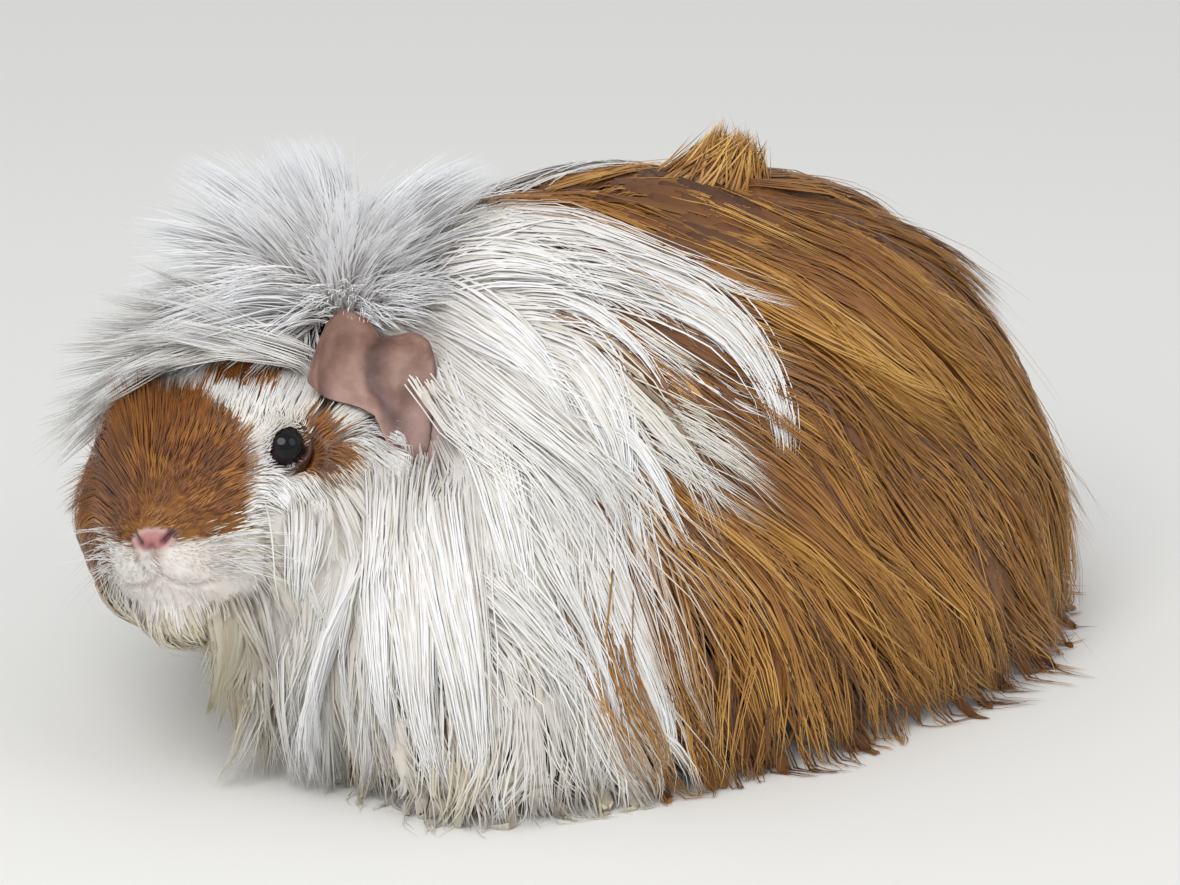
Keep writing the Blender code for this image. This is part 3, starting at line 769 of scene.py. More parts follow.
def body_lie(points):
    """The way the long coat lies: away from the crown of the back, rearwards on top, down to the floor."""
    x, y, z = (points / MM).T
    rearward = np.interp(z, (0, 20, 50, 80, 105, 125), (0.4, 0.34, 0.42, 0.8, 1.5, 1.9))
    rearward = rearward * step(-95, -30, x) * (0.75 + 0.5 * step(-20, 60, x))
    way = np.stack([rearward, 0.75 * np.tanh(y / 20) * step(60, 110, z), np.full(len(x), -1.0)], axis=1)
    for (cx, cy), reach, strength in WHORLS:
        out = np.stack([x - cx, y - cy, np.zeros(len(x))], axis=1)
        near = bump(np.linalg.norm(out, axis=1), reach) * step(70, 95, z)
        way += strength * near[:, None] * unit(out)
    way[:, 0] += 0.32 * wander(points / MM, 48.0, 11)
    way[:, 1] += 0.14 * wander(points / MM, 40.0, 12)
    return way


def head_lie(points):
    """The way the fur lies on the head: back from the nose, up to the crest, and down over the cheeks."""
    behind, left, above = head_places(points).T
    down = 0.15 + 0.5 * step(8, 20, behind) * step(4, -12, above)
    down += 4.0 * step(17, 30, behind) * step(14, 0, above)
    down += 2.0 * step(-11, -17, above)
    rise = 0.9 * step(14, 30, behind) * step(12, 24, above)
    away = -0.25 * np.sign(left) * step(12, 0, behind)
    way = np.outer(np.ones(len(behind)), BACK) + np.outer(rise - down, UP)
    return way + np.outer(-away, LEFT) + 0.12 * wander(points / MM, 16.0, 13)[:, None] * np.array(LEFT)


def walk(roots, lengths, rings, hanging=False):
    """Paths of so many points over the surface, with its normals along them. Hanging hair may leave it."""
    points, normals = project(roots)
    paths, ups = [points], [normals]
    stride = (lengths / (rings - 1))[:, None]
    for _ in range(rings - 1):
        on_head = head_share(points)[:, None]
        way = head_lie(points) * on_head + body_lie(points) * (1 - on_head)
        way -= (way * normals).sum(1, keepdims=True) * normals
        way = unit(way)
        if hanging:
            way = unit(way * 0.5 + unit(ups[0] * (1, 1, 0)) * 0.10 + np.array((0.05, 0, -1.0)))
        low = points[:, 2] < 9 * MM
        way[low] = unit(unit(normals[low] * (1, 1, 0)) * 0.45 + np.array((0.1, 0, -1.0)))
        ahead = points + way * stride
        points, normals = project(ahead)
        free = low | (((ahead - points) * normals).sum(1) > 0) if hanging else low
        points[free] = ahead[free]
        paths.append(points)
        ups.append(normals)
    return np.stack(paths, 1), np.stack(ups, 1)


def cut_at(heights, paths, ups):
    """Shortens each path to end at its height above the floor, with its points spread evenly again."""
    count, rings, _ = paths.shape
    under = paths[:, :, 2] < heights[:, None]
    first = np.where(under.any(1), under.argmax(1), rings - 1)
    before = np.maximum(first - 1, 0)
    each = np.arange(count)
    high, low = paths[each, before, 2], paths[each, first, 2]
    share = np.clip((high - heights) / np.maximum(high - low, 1e-6), 0.05, 1.0)
    end = np.where(under.any(1), np.maximum(before + share, 1.5), rings - 1)
    places = np.linspace(0, 1, rings)[None] * end[:, None]
    floor_part = np.minimum(places.astype(int), rings - 2)
    rest = (places - floor_part)[:, :, None]
    near, far = each[:, None], floor_part + 1
    return [a[near, floor_part] * (1 - rest) + a[near, far] * rest for a in (paths, ups)]


# %% [markdown]
# Hair doesn't hang as single threads: neighbours cling together into locks that narrow to a point, and fine
# locks gather into broad ones. A few hairs are taken as leaders, each hair belongs to the nearest
# leader's lock, and it bends towards that leader on its way to the tip.

# %% Gathering hairs into locks
def leaders_of(roots, spacing, seed):
    """The leader of each hair, with leaders about that many millimetres apart."""
    rng = np.random.default_rng(seed)
    order = rng.permutation(len(roots))
    cells = np.floor(roots[order] / (spacing * MM)).astype(int)
    _, first = np.unique(cells, axis=0, return_index=True)
    leaders = order[first]
    near = KDTree(len(leaders))
    for i, leader in enumerate(leaders):
        near.insert(roots[leader], i)
    near.balance()
    return leaders[[near.find(root)[1] for root in roots.tolist()]]


def gather(paths, leader, pull, seed):
    rng = np.random.default_rng(seed)
    share = np.linspace(0, 1, paths.shape[1]) ** 1.4
    strength = pull * rng.uniform(0.55, 1.0, len(paths))
    return paths + (paths[leader] - paths) * (strength[:, None] * share)[:, :, None]


# %% [markdown]
# A hair is a slim three-sided spike, flattened to lie on its neighbours. Thousands of them are written into
# one mesh at once. Each also gets its own small patch of the texture map, at the place of its root on an
# unwrap of the skin, so that a baked texture keeps the markings of the coat. Light is meant to see the soft
# surface of the coat and not the hard edges of the spikes, so the shading normals follow the coat.

# %% Hairs as one mesh
PATCH = 0.003
SIDES = 3
SOFTNESS = 0.3


def white_numbers(tone):
    """The numbers of hair that is plain white from root to tip."""
    return {"ginger": 0 * tone, "mask": 0 * tone, "cream": 0 * tone, "tone": tone}


def hair_mesh(name, paths, ups, widths, unwrap, numbers, thickness=0.32):
    """Spikes along the paths. Each path has one width, and one value under each name in numbers."""
    count, rings, _ = paths.shape
    ahead = unit(np.gradient(paths, axis=1))
    side = unit(np.cross(ahead, ups))
    over = np.cross(side, ahead)
    share = np.linspace(0, 1, rings)
    swell = np.minimum(1.0, 0.55 + 2.2 * share) * (1 - share**2.2)
    half = (0.5 * widths[:, None] * swell)[:, :, None]
    corners = [(-1.0, -0.35), (1.0, -0.35), (0.0, 0.75)]
    rims = [paths + half * (a * side + b * 2 * thickness * over) for a, b in corners]
    body = np.stack(rims, 2)[:, : rings - 1].reshape(count, -1, 3)
    points = np.concatenate([body, paths[:, -1:]], axis=1)
    points[:, :, 2] = np.maximum(points[:, :, 2], 0.1 * MM)
    each = points.shape[1]
    quads, quad_maps, quad_lights = [], [], []
    body_size = SIDES * (rings - 1)
    for r in range(rings - 2):
        for s in range(SIDES):
            t = (s + 1) % SIDES
            near, far = SIDES * r, SIDES * (r + 1)
            quads.append((near + s, far + s, far + t, near + t))
            quad_maps.append(((s, r), (s, r + 1), (s + 1, r + 1), (s + 1, r)))
            under = (body_size + 1 + r, body_size + 2 + r, body_size + 2 + r, body_size + 1 + r)
            quad_lights.append(under if s == 0 else quads[-1])
    last = SIDES * (rings - 2)
    tips, tip_maps, tip_lights = [], [], []
    for s in range(SIDES):
        tips.append((last + s, each - 1, last + (s + 1) % SIDES))
        tip_maps.append(((s, rings - 2), (s + 0.5, rings - 1), (s + 1, rings - 2)))
        tip_lights.append((body_size + rings - 1,) * 3 if s == 0 else tips[-1])
    tips.append((0, 1, 2))
    tip_maps.append(((0, 0), (SIDES / 2, -1), (SIDES, 0)))
    tip_lights.append((body_size + rings,) * 3)
    one = np.array([c for q in quads for c in q] + [c for t in tips for c in t])
    one_map = np.array([c for q in quad_maps for c in q] + [c for t in tip_maps for c in t], float)
    sizes = np.array([4] * len(quads) + [3] * len(tips))
    loops = (one[None] + each * np.arange(count)[:, None]).ravel()
    starts = np.concatenate([[0], np.cumsum(np.tile(sizes, count))[:-1]])
    mesh = bpy.data.meshes.new(name)
    mesh.vertices.add(count * each)
    mesh.vertices.foreach_set("co", points.astype(np.float32).ravel())
    mesh.loops.add(len(loops))
    mesh.loops.foreach_set("vertex_index", loops.astype(np.int32))
    mesh.polygons.add(len(starts))
    mesh.polygons.foreach_set("loop_start", starts.astype(np.int32))
    mesh.update(calc_edges=True)
    mesh.shade_smooth()
    soft = [unit(0.8 * ups + tilt * side)[:, : rings - 1] for tilt in (-SOFTNESS, SOFTNESS, 0.0)]
    lit = [np.stack(soft, 2).reshape(count, -1, 3), ups[:, -1:], -over[:, : rings - 1], -ahead[:, :1]]
    lit = np.concatenate(lit, axis=1)
    lights = np.array([c for q in quad_lights for c in q] + [c for t in tip_lights for c in t])
    mesh.normals_split_custom_set(lit[:, lights].reshape(-1, 3).astype(np.float32))
    low, high = unwrap.min(0), unwrap.max(0)
    homes = 0.006 + (unwrap - low) / (high - low) * (1 - 0.012 - PATCH)
    patch = homes[:, None] + (one_map + (0, 1)) / (SIDES, rings) * PATCH
    layer = mesh.uv_layers.new(name="OFBake")
    layer.data.foreach_set("uv", patch.astype(np.float32).ravel())
    for key, values in numbers.items():
        set_attribute(mesh, key, np.repeat(values, each))
    along = np.append(np.repeat(share[: rings - 1], SIDES), 1.0)
    set_attribute(mesh, "along", np.tile(along, count))
    mesh.materials.append(hair)
    obj = new_object(name, mesh)
    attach(obj, "root")
    return obj


def body_unwrap(points):
    """Length along the body against the angle round it."""
    x, y, z = (points / MM).T
    return np.stack([x, np.arctan2(y, z - 45.0)], axis=1)


def head_unwrap(points):
    behind, left, above = head_places(points).T
    return np.stack([behind, np.arctan2(left, above + 6.0)], axis=1)


# %% [markdown]
# Roots are scattered evenly by area. Below the belly nothing grows, and the head is sown apart because its
# fur changes so much from the nose to the cheek.

# %% Sowing the roots
def sow(count, seed):
    rng = np.random.default_rng(seed)
    heights = outer_corners[:, :, 2].mean(1) / MM
    weights = outer_areas * (outer_normals[:, 2] > -0.75) * (0.5 + 0.9 * step(40, 105, heights))
    middles = outer_corners.mean(1)[:, :2] / MM
    for centre, reach, _ in WHORLS:
        away = np.linalg.norm(middles - centre, axis=1)
        weights *= 1 + 2.6 * bump(away, reach * 1.2) * (heights > 60)
    faces = rng.choice(len(weights), count, p=weights / weights.sum())
    a, b = rng.uniform(size=(2, count, 1))
    flip = a + b > 1
    a, b = np.where(flip, 1 - a, a), np.where(flip, 1 - b, b)
    corners = outer_corners[faces]
    return corners[:, 0] + a * (corners[:, 1] - corners[:, 0]) + b * (corners[:, 2] - corners[:, 0])


def off_the_ears(points, gap):
    return ear_distance(points) > gap * MM


BODY_HAIRS = 18300
SPARE_ROOTS = 9000
seeds = sow(BODY_HAIRS + SPARE_ROOTS, 21)
is_head = head_share(seeds) > 0.5
body_roots = seeds[~is_head & off_the_ears(seeds, 3.0)][:BODY_HAIRS]
print("body hairs:", len(body_roots))

# %% The long coat of the body
rng = np.random.default_rng(31)


def body_length(points):
    """Hair length in millimetres: long everywhere, a little shorter at the chest and along the spine."""
    x, _, z = (points / MM).T
    return 76 + 24 * step(125, 95, z) - 14 * step(-50, -90, x)


def curl(paths, ups, reach, wavelength, phase):
    """A slow sideways wave that grows towards the tip."""
    share = np.linspace(0, 1, paths.shape[1])
    side = unit(np.cross(paths[:, -1] - paths[:, 0], ups[:, 0]))
    length = np.linalg.norm(paths[:, -1] - paths[:, 0], axis=1)
    turn = 2 * math.pi * share * (length / wavelength)[:, None]
    wave = np.sin(phase[:, None] + turn) - np.sin(phase)[:, None]
    return paths + (reach * wave * share)[:, :, None] * side[:, None]


# The reach of a curl and its wavelength, in millimetres.
BROAD_CURL = (4.6, 84)
FINE_CURL = (1.1, 36)
SHORT_FUR_RINGS = 4
EAR_GAP, EAR_GAP_OF_SHORT_FUR = 1.3, 0.4


def above_floor(paths):
    paths[:, :, 2] = np.maximum(paths[:, :, 2], 0.5 * MM)
    return paths


SIDE_REACH = 91.0
KEPT_BEYOND = 0.4


def drawn_in(paths):
    """Draws hair that stands far out at the sides back towards the flanks."""
    wide = np.abs(paths[:, :, 1]) / MM
    near = np.minimum(wide, SIDE_REACH) + KEPT_BEYOND * np.maximum(wide - SIDE_REACH, 0)
    paths[:, :, 1] = np.sign(paths[:, :, 1]) * near * MM
    return paths


def coat(name, roots, lengths, widths, rings, depth, tips, on_head, seed, broad=18.0, fine=6.0,
         wave=1.0, hanging=False, loft=1.0, per_piece=5500, pulls=(0.62, 0.75), painted_shade_tone_scale=1.0):
    """Grows hairs from the roots and writes them as pieces of so many hairs. All is in millimetres.

    Depth is how far the roots lie under the surface, and tips how far the ends stand over it. Broad and
    fine are the distances between the leaders of the locks, and pulls says how strongly they draw hair in.
    """
    rng = np.random.default_rng(seed)
    count = len(roots)
    broad_leader = leaders_of(roots, broad, seed + 1)
    fine_leader = leaders_of(roots, fine, seed + 2)
    lengths = lengths * rng.uniform(0.75, 1.15, count)[broad_leader]
    lengths = lengths * rng.uniform(0.85, 1.1, count)[fine_leader]
    paths, ups = walk(roots, lengths * MM, rings, hanging)
    ragged = rng.uniform(0, 1, count)
    unevenness = 3.0 + 13.0 * step(30, 75, paths[:, -1, 0] / MM)
    hems = 0.6 + ragged[broad_leader] * unevenness * rng.uniform(0.6, 1.0, count)
    paths, ups = cut_at(hems * MM, paths, ups)
    paths = gather(paths, broad_leader, pulls[0], seed + 3)
    paths = gather(paths, fine_leader, pulls[1], seed + 4)
    phases = rng.uniform(0, 2 * math.pi, count)
    reach, wavelength = BROAD_CURL
    paths = curl(paths, ups, reach * wave * MM, wavelength * MM, phases[broad_leader])
    reach, wavelength = FINE_CURL
    phases = phases[fine_leader] + rng.normal(0, 0.4, count)
    paths = curl(paths, ups, reach * wave * MM, wavelength * MM, phases)
    share = np.linspace(0, 1, rings)
    rise = loft * (rng.uniform(-2.2, 3.4, count)[broad_leader] + rng.uniform(-0.8, 1.2, count)[fine_leader])
    end = loft * np.maximum(rng.normal(-0.2, 2.0, count)[fine_leader], -1.5) + tips
    loose_locks = 6.0 * (rng.uniform(0, 1, count) > 0.85)[broad_leader]
    loose_hairs = rng.uniform(2, 8, count) * (rng.uniform(0, 1, count) > 0.97)
    end += loft * (loose_locks + loose_hairs)
    height = -depth[:, None] * (1 - np.minimum(share / 0.2, 1)) ** 2
    height = height + rise[:, None] * np.sin(math.pi * share) * 0.8 + end[:, None] * share**2
    paths = drawn_in(above_floor(paths + height[:, :, None] * MM * ups))
    if on_head.mean() > 0.5:
        paths = over_lids(paths.reshape(-1, 3)).reshape(paths.shape)
    ginger, dark = markings(roots + rng.normal(0, 0.6 * MM, roots.shape), on_head)
    cream_and_throat_shade_share = cream_and_throat_shade(roots, on_head)
    tone = 0.42 * rng.uniform(0, 1, count)[broad_leader] + 0.36 * rng.uniform(0, 1, count)[fine_leader]
    # A tone scale under one paints the hairs darker, as the shade deep in the coat.
    tone = painted_shade_tone_scale * np.clip(tone + 0.22 * rng.uniform(0, 1, count), 0, 1)
    order = rng.permutation(count)
    sides = np.concatenate([0.5 * (paths[:, :1] + paths[:, 1:2]), paths[:, 1:]], axis=1).reshape(-1, 3)
    gap = EAR_GAP if rings > SHORT_FUR_RINGS else EAR_GAP_OF_SHORT_FUR
    order = order[off_the_ears(sides, gap).reshape(count, -1).all(1)[order]]
    unwrap = head_unwrap(roots) if on_head.mean() > 0.5 else body_unwrap(roots)
    parts = math.ceil(len(order) / per_piece)
    for part in range(parts):
        pick = order[part::parts]
        numbers = {"ginger": ginger[pick], "mask": dark[pick], "tone": tone[pick], "cream": cream_and_throat_shade_share[pick]}
        label = f"{name}_{part + 1}" if parts > 1 else name
        piece = hair_mesh(label, paths[pick], ups[pick], widths[pick] * MM, unwrap[pick], numbers)
        triangles = sum(len(p.vertices) - 2 for p in piece.data.polygons)
        print(label, len(pick), "hairs,", triangles, "triangles")


count = len(body_roots)
lengths = body_length(body_roots) * rng.uniform(0.75, 1.1, count)
widths, depths = rng.uniform(0.32, 0.66, count), rng.uniform(2.5, 5, count)
coat("coat_long", body_roots, lengths, widths, 7, depths, rng.uniform(-0.8, 0.6, count), np.zeros(count),
     100)

# %% [markdown]
# Under the fine hairs lies a denser layer of broad locks. It closes the coat, so that no light or skin shows
# between the hairs, and its hairs are painted darker, as the shade deep in the coat, which gives the coat its
# depth of shadow.

# %% The dense underlayer
UNDER_HAIRS = 3500
SOWN_UNDER, SOWN_HEAD = 6200, 170000
under_roots = sow(SOWN_UNDER, 41)
under_roots = under_roots[(head_share(under_roots) < 0.5) & off_the_ears(under_roots, 5.0)][:UNDER_HAIRS]
count = len(under_roots)
lengths = body_length(under_roots) * rng.uniform(0.5, 0.8, count)
coat("coat_under", under_roots, lengths, rng.uniform(2.4, 3.8, count), 6, rng.uniform(5, 8, count),
     rng.uniform(-5.5, -3.8, count), np.zeros(count), 300, 18.0, 9.0, 0.5,
     loft=0.4, painted_shade_tone_scale=0.55)

# %% [markdown]
# The fur of the face is a few millimetres long at the nose and lies flat towards the back. It grows longer
# over the forehead, and behind the eye the cheek hair is suddenly as long as the coat and falls straight
# down.

# %% The fur of the head
FACE_HAIRS = 15500
CHEEK_HAIRS = {"left": 3200, "right": 2100}
CHEEK_UNDER_HAIRS = 850
BARE_ROUND_EYE = 6.1
head_seeds = sow(SOWN_HEAD, 51)
head_seeds = head_seeds[head_share(head_seeds) > 0.5]
places = head_places(head_seeds)
clear = np.ones(len(places), bool)
for side in EYES:
    radius, height = eye_round(places, side)
    clear &= ~((radius < BARE_ROUND_EYE) & (height > -1))
nose_bare = (np.hypot((places[:, 1] - NOSE_MIDDLE) / 2.0, places[:, 2] - 0.6) < 2.5) & (places[:, 0] < 10)
clear &= ~nose_bare
clear &= off_the_ears(head_seeds, 0.8)
head_seeds, places = head_seeds[clear], places[clear]


def head_length(places):
    """Fur length over the head in millimetres."""
    behind, left, above = places.T
    length = 2.6 + 3.6 * step(8, 26, behind) + 9.0 * step(28, 52, behind)
    length = length * (1 - 0.65 * bump(np.hypot(behind - 64, above - 4), 9.0))
    start = np.interp(above, (-16, 4), (13, 17))
    near = 60 * step(start, start + 5, behind) * step(6, 1, above) * (left > 8)
    far = 26 * step(34, 42, behind) * step(8, -6, above) * (left <= 0)
    throat = 22 * step(-13, -17, above) * step(26, 14, left)
    return length + np.maximum(near, throat) + far


lengths = head_length(places)
long_ones = lengths > 20
print("head roots:", len(places), "of which long:", int(long_ones.sum()))
short = np.flatnonzero(~long_ones)[:FACE_HAIRS]
count = len(short)
# Fuller fur below the far eye hides it from the near side.
plush = 9.5 * bump(np.linalg.norm(places[short] - (24, -16, 13), axis=1), 12.0)
face_lengths = lengths[short] * rng.uniform(0.8, 1.2, count) + 1.5 * plush
face_widths = rng.uniform(0.18, 0.34, count)
face_tips = plush + 0.03 * lengths[short] * rng.uniform(-0.5, 1.5, count)
face_depths = 0.6 + 0.14 * lengths[short]
coat("face_fur", head_seeds[short], face_lengths, face_widths, SHORT_FUR_RINGS, face_depths, face_tips,
     np.ones(count), 400, 7.0, 1.8, 0.12, loft=0.1, per_piece=11000,
     pulls=(0.12, 0.4))

near_side = long_ones & (places[:, 1] > 9)
for side, on_side in (("left", near_side), ("right", long_ones & ~near_side)):
    pick = np.flatnonzero(on_side)[:CHEEK_HAIRS[side]]
    count = len(pick)
    cheek_lengths = lengths[pick] * rng.uniform(0.8, 1.15, count)
    cheek_widths = rng.uniform(0.35, 0.7, count)
    cheek_tips = rng.uniform(-0.5, 1.0, count)
    coat(f"cheek_hair_{side}", head_seeds[pick], cheek_lengths, cheek_widths, 6, np.full(count, 3.0),
         cheek_tips, np.ones(count), 450, 14.0, 5.0, 0.8, side == "left", 0.8)

under = np.flatnonzero(near_side)[-CHEEK_UNDER_HAIRS:]
count = len(under)
# The hair under the cheek curtain is painted darker, as the shade beneath the long cheek hair.
coat("cheek_under", head_seeds[under], lengths[under], rng.uniform(1.5, 2.3, count), 6, np.full(count, 4.0),
     rng.uniform(-4.5, -3.0, count), np.ones(count), 470, 14.0, 7.0, 0.5, True, 0.4,
     painted_shade_tone_scale=0.4)

# %% [markdown]
# Whiskers are long stiff hairs that stand in rows on each side of the muzzle and fan out backwards.

# %% Whiskers
WHISKER_RINGS = 8


def whiskers(name, count, seed):
    rng = np.random.default_rng(seed)
    side = np.where(np.arange(count) % 2, 1.0, -1.0)
    behind, aside = rng.uniform(4, 12, count), side * rng.uniform(8, 14, count)
    seats = np.stack([behind, aside, rng.uniform(-9, 0, count)], 1)
    roots, normals = project(np.array([head_point(*seat) for seat in seats.tolist()]))
    out = np.outer(side, LEFT) + np.outer(rng.uniform(0.5, 1.15, count), BACK)
    out += np.outer(rng.uniform(-0.7, 0.25, count), UP)
    aim = unit(out + 0.4 * normals)
    share = np.linspace(0, 1, WHISKER_RINGS)[None, :, None]
    reach = (rng.uniform(16, 27, count) * MM)[:, None, None]
    paths = roots[:, None] - MM * normals[:, None] + aim[:, None] * share * reach
    paths = paths - np.array((0, 0, 0.22)) * reach * share**2
    ups = np.repeat(unit(np.cross(np.cross(aim, (0, 0, 1.0)), aim))[:, None], WHISKER_RINGS, 1)
    numbers = white_numbers(rng.uniform(0.5, 1, count))
    piece = hair_mesh(name, paths, ups, rng.uniform(0.13, 0.2, count) * MM, head_unwrap(roots), numbers, 0.8)


whiskers("whiskers", 52, 55)

# %% [markdown]
# The crest is a whorl at the nape: hair springs from one spot and stands out like a burst, low over the
# forehead, upright in the middle, and sweeping back over the shoulders. Each hair gets a direction, as an
# angle round the whorl and a rise, and a length that changes with the direction.

# %% The crest
NAPE = Vector((-66, -4, 112)) * MM
CREST_BEND = 0.35
ROOT_DEPTH = 2.5 * MM
BOW_RINGS = 7


def bow(roots, bends, ends):
    """Paths that leave each root towards its bend and curve over to the end."""
    share = np.linspace(0, 1, BOW_RINGS)[None, :, None]
    roots, bends, ends = roots[:, None], bends[:, None], ends[:, None]
    return roots * (1 - share) ** 2 + 2 * bends * share * (1 - share) + ends * share**2


def sprung(name, count, turn, rise, length, spread, locks, pull, seed, width):
    """Hairs that spring from the nape. Turn and rise are ranges in degrees; the rest is in millimetres."""
    rng = np.random.default_rng(seed)
    turns = rng.uniform(*turn, count)
    rises = np.degrees(np.arcsin(rng.uniform(*np.sin(np.radians(rise)), count)))
    lengths = length(turns, rises) * rng.uniform(0.72, 1.05, count)
    a, e = np.radians(turns), np.radians(rises)
    flat = np.stack([np.cos(a), np.sin(a), np.zeros(count)], 1)
    offset = flat * (spread * np.cos(e) * rng.uniform(0.2, 1.0, count))[:, None]
    offset += rng.normal(0, 0.12 * spread, (count, 3)) * (1, 1, 0)
    roots, normals = project(np.array(NAPE) + offset * MM)
    roots = roots - ROOT_DEPTH * normals
    aim = flat * np.cos(e)[:, None] + np.array((0, 0, 1)) * np.sin(e)[:, None]
    first = e + CREST_BEND
    start = unit(flat * np.cos(first)[:, None] + np.array((0, 0, 1)) * np.sin(first)[:, None])
    reach = (lengths * MM)[:, None]
    paths = bow(roots, roots + start * reach * 0.5, roots + aim * reach)
    paths, _ = gather_by_aim(paths, aim, locks, pull, seed + 1)
    paths, leader = gather_by_aim(paths, aim, locks * 6, 0.45, seed + 2)
    across = np.cross(aim, (0, 0, 1.0))
    ups = unit(0.45 * unit(np.cross(across, aim)) + aim + (0, 0, 0.3))
    ups = np.repeat(ups[:, None], BOW_RINGS, 1)
    paths = curl(paths, ups, 1.1 * MM, 42 * MM, rng.uniform(0, 2 * math.pi, count)[leader])
    # The crest's tone starts halfway up the ramp: painted light that lifts the shade deep inside the crest.
    tone = np.clip(0.5 + 0.3 * rng.uniform(0, 1, count)[leader] + 0.3 * rng.uniform(0, 1, count), 0, 1)
    unwrap = np.stack([np.radians(turns), rises], 1)
    widths = rng.uniform(0.7, 1.3, count) * width * MM
    piece = hair_mesh(name, paths, ups, widths, unwrap, white_numbers(tone))
    print(name, count, "hairs")


def gather_by_aim(paths, aim, locks, pull, seed):
    """Draws each hair towards the nearest of so many leaders, chosen by direction."""
    rng = np.random.default_rng(seed)
    leaders = rng.choice(len(paths), locks, replace=False)
    near = KDTree(locks)
    for i, leader in enumerate(leaders):
        near.insert(aim[leader], i)
    near.balance()
    chosen = leaders[[near.find(way)[1] for way in aim.tolist()]]
    share = np.linspace(0, 1, paths.shape[1]) ** 1.2
    strength = pull * rng.uniform(0.4, 1.0, len(paths))
    return paths + (paths[chosen] - paths) * (strength[:, None] * share)[:, :, None], chosen


FORWARD_RIGHT, REARWARD = 155.0, 20.0


def crest_length(turns, rises):
    """Longest where it falls forward over the brow and back over the shoulders, shortest upright."""
    forward, rearward = bump((turns - FORWARD_RIGHT) / 60.0, 1.0), bump((turns - REARWARD) / 60.0, 1.0)
    return 38 + (17 * forward + 12 * rearward) * np.cos(np.radians(rises))


def near_crest_length(_, rises):
    return 26 + 8 * np.sin(np.radians(rises))


# Hairs, turn, rise, length, spread of the roots, locks, pull into them, seed and width of each part.
CREST_PARTS = (
    (2800, (-20, 215), (-12, 88), crest_length, 15, 34, 0.82, 61, 0.6),
    (900, (215, 340), (42, 88), near_crest_length, 11, 20, 0.7, 65, 0.55),
    (600, (115, 215), (-30, 4), lambda *_: 34, 15, 14, 0.6, 68, 0.55),
    (450, (200, 335), (6, 48), lambda *_: 25, 17, 18, 0.6, 69, 0.55),
)
for number, part in enumerate(CREST_PARTS, 1):
    sprung(f"crest_hair_{number}", *part)

# %% [markdown]
# From the crest a fringe is combed forward over the forehead, across to the far side. It lies on the short
# fur and runs on past the brow.

# %% The fringe
FRINGE_RINGS = 7


def combed(roots, ways, lengths, rings, lift):
    """Straight paths that keep above the outer surface by the lift in millimetres."""
    points = roots.copy()
    paths, ups = [], []
    for _ in range(rings):
        on, normals = project(points)
        height = ((points - on) * normals).sum(1)
        low = height < lift * MM
        points[low] = on[low] + lift[low, None] * MM * normals[low]
        paths.append(points.copy())
        ups.append(normals)
        points = points + ways * (lengths * MM / (rings - 1))[:, None]
    paths[0] = paths[0] - ROOT_DEPTH * ups[0]
    return np.stack(paths, 1), unit(np.stack(ups, 1) + ways[:, None] * 0.5)


def fringe(name, count, seed):
    rng = np.random.default_rng(seed)
    start = np.interp(places[:, 1], (-28, 0, 20), (38, 42, 50))
    behind, left, above = places.T
    picks = (behind > start) & (behind < 80) & (left > -28) & (left < 24) & (above > 13)
    roots = head_seeds[picks][:count]
    spots = places[picks][:count]
    count = len(roots)
    rise = 0.02 * (spots[:, 1] - 10) + 0.25 + 0.45 * step(48, 72, spots[:, 0])
    ways = np.outer(np.ones(count), -0.85 * BACK - 0.5 * LEFT) + np.outer(rise, UP)
    ways = unit(ways + rng.normal(0, 0.07, (count, 3)))
    leader = leaders_of(roots, 9.0, seed)
    ways = unit(ways * 0.4 + 0.6 * ways[leader])
    lengths = np.interp(spots[:, 0], (40, 50, 76), (14, 28, 42)) * rng.uniform(0.8, 1.1, count)
    paths, ups = combed(roots, ways, lengths, FRINGE_RINGS, rng.uniform(0.8, 3.0, count))
    paths = gather(paths, leader, 0.5, seed + 1)
    paths = curl(paths, ups, 0.8 * MM, 40 * MM, rng.uniform(0, 2 * math.pi, count)[leader])
    tone = np.clip(0.4 * rng.uniform(0, 1, count)[leader] + 0.6 * rng.uniform(0, 1, count), 0, 1)
    widths = rng.uniform(0.3, 0.55, count) * MM
    piece = hair_mesh(name, paths, ups, widths, head_unwrap(roots), white_numbers(tone))
    print(name, count, "hairs")


fringe("fringe_hair", 1600, 68)

# %% [markdown]
# Behind the loins a small whorl throws up a tuft of ginger hair. It is broad at the foot and runs to
# a few points, like a flame.

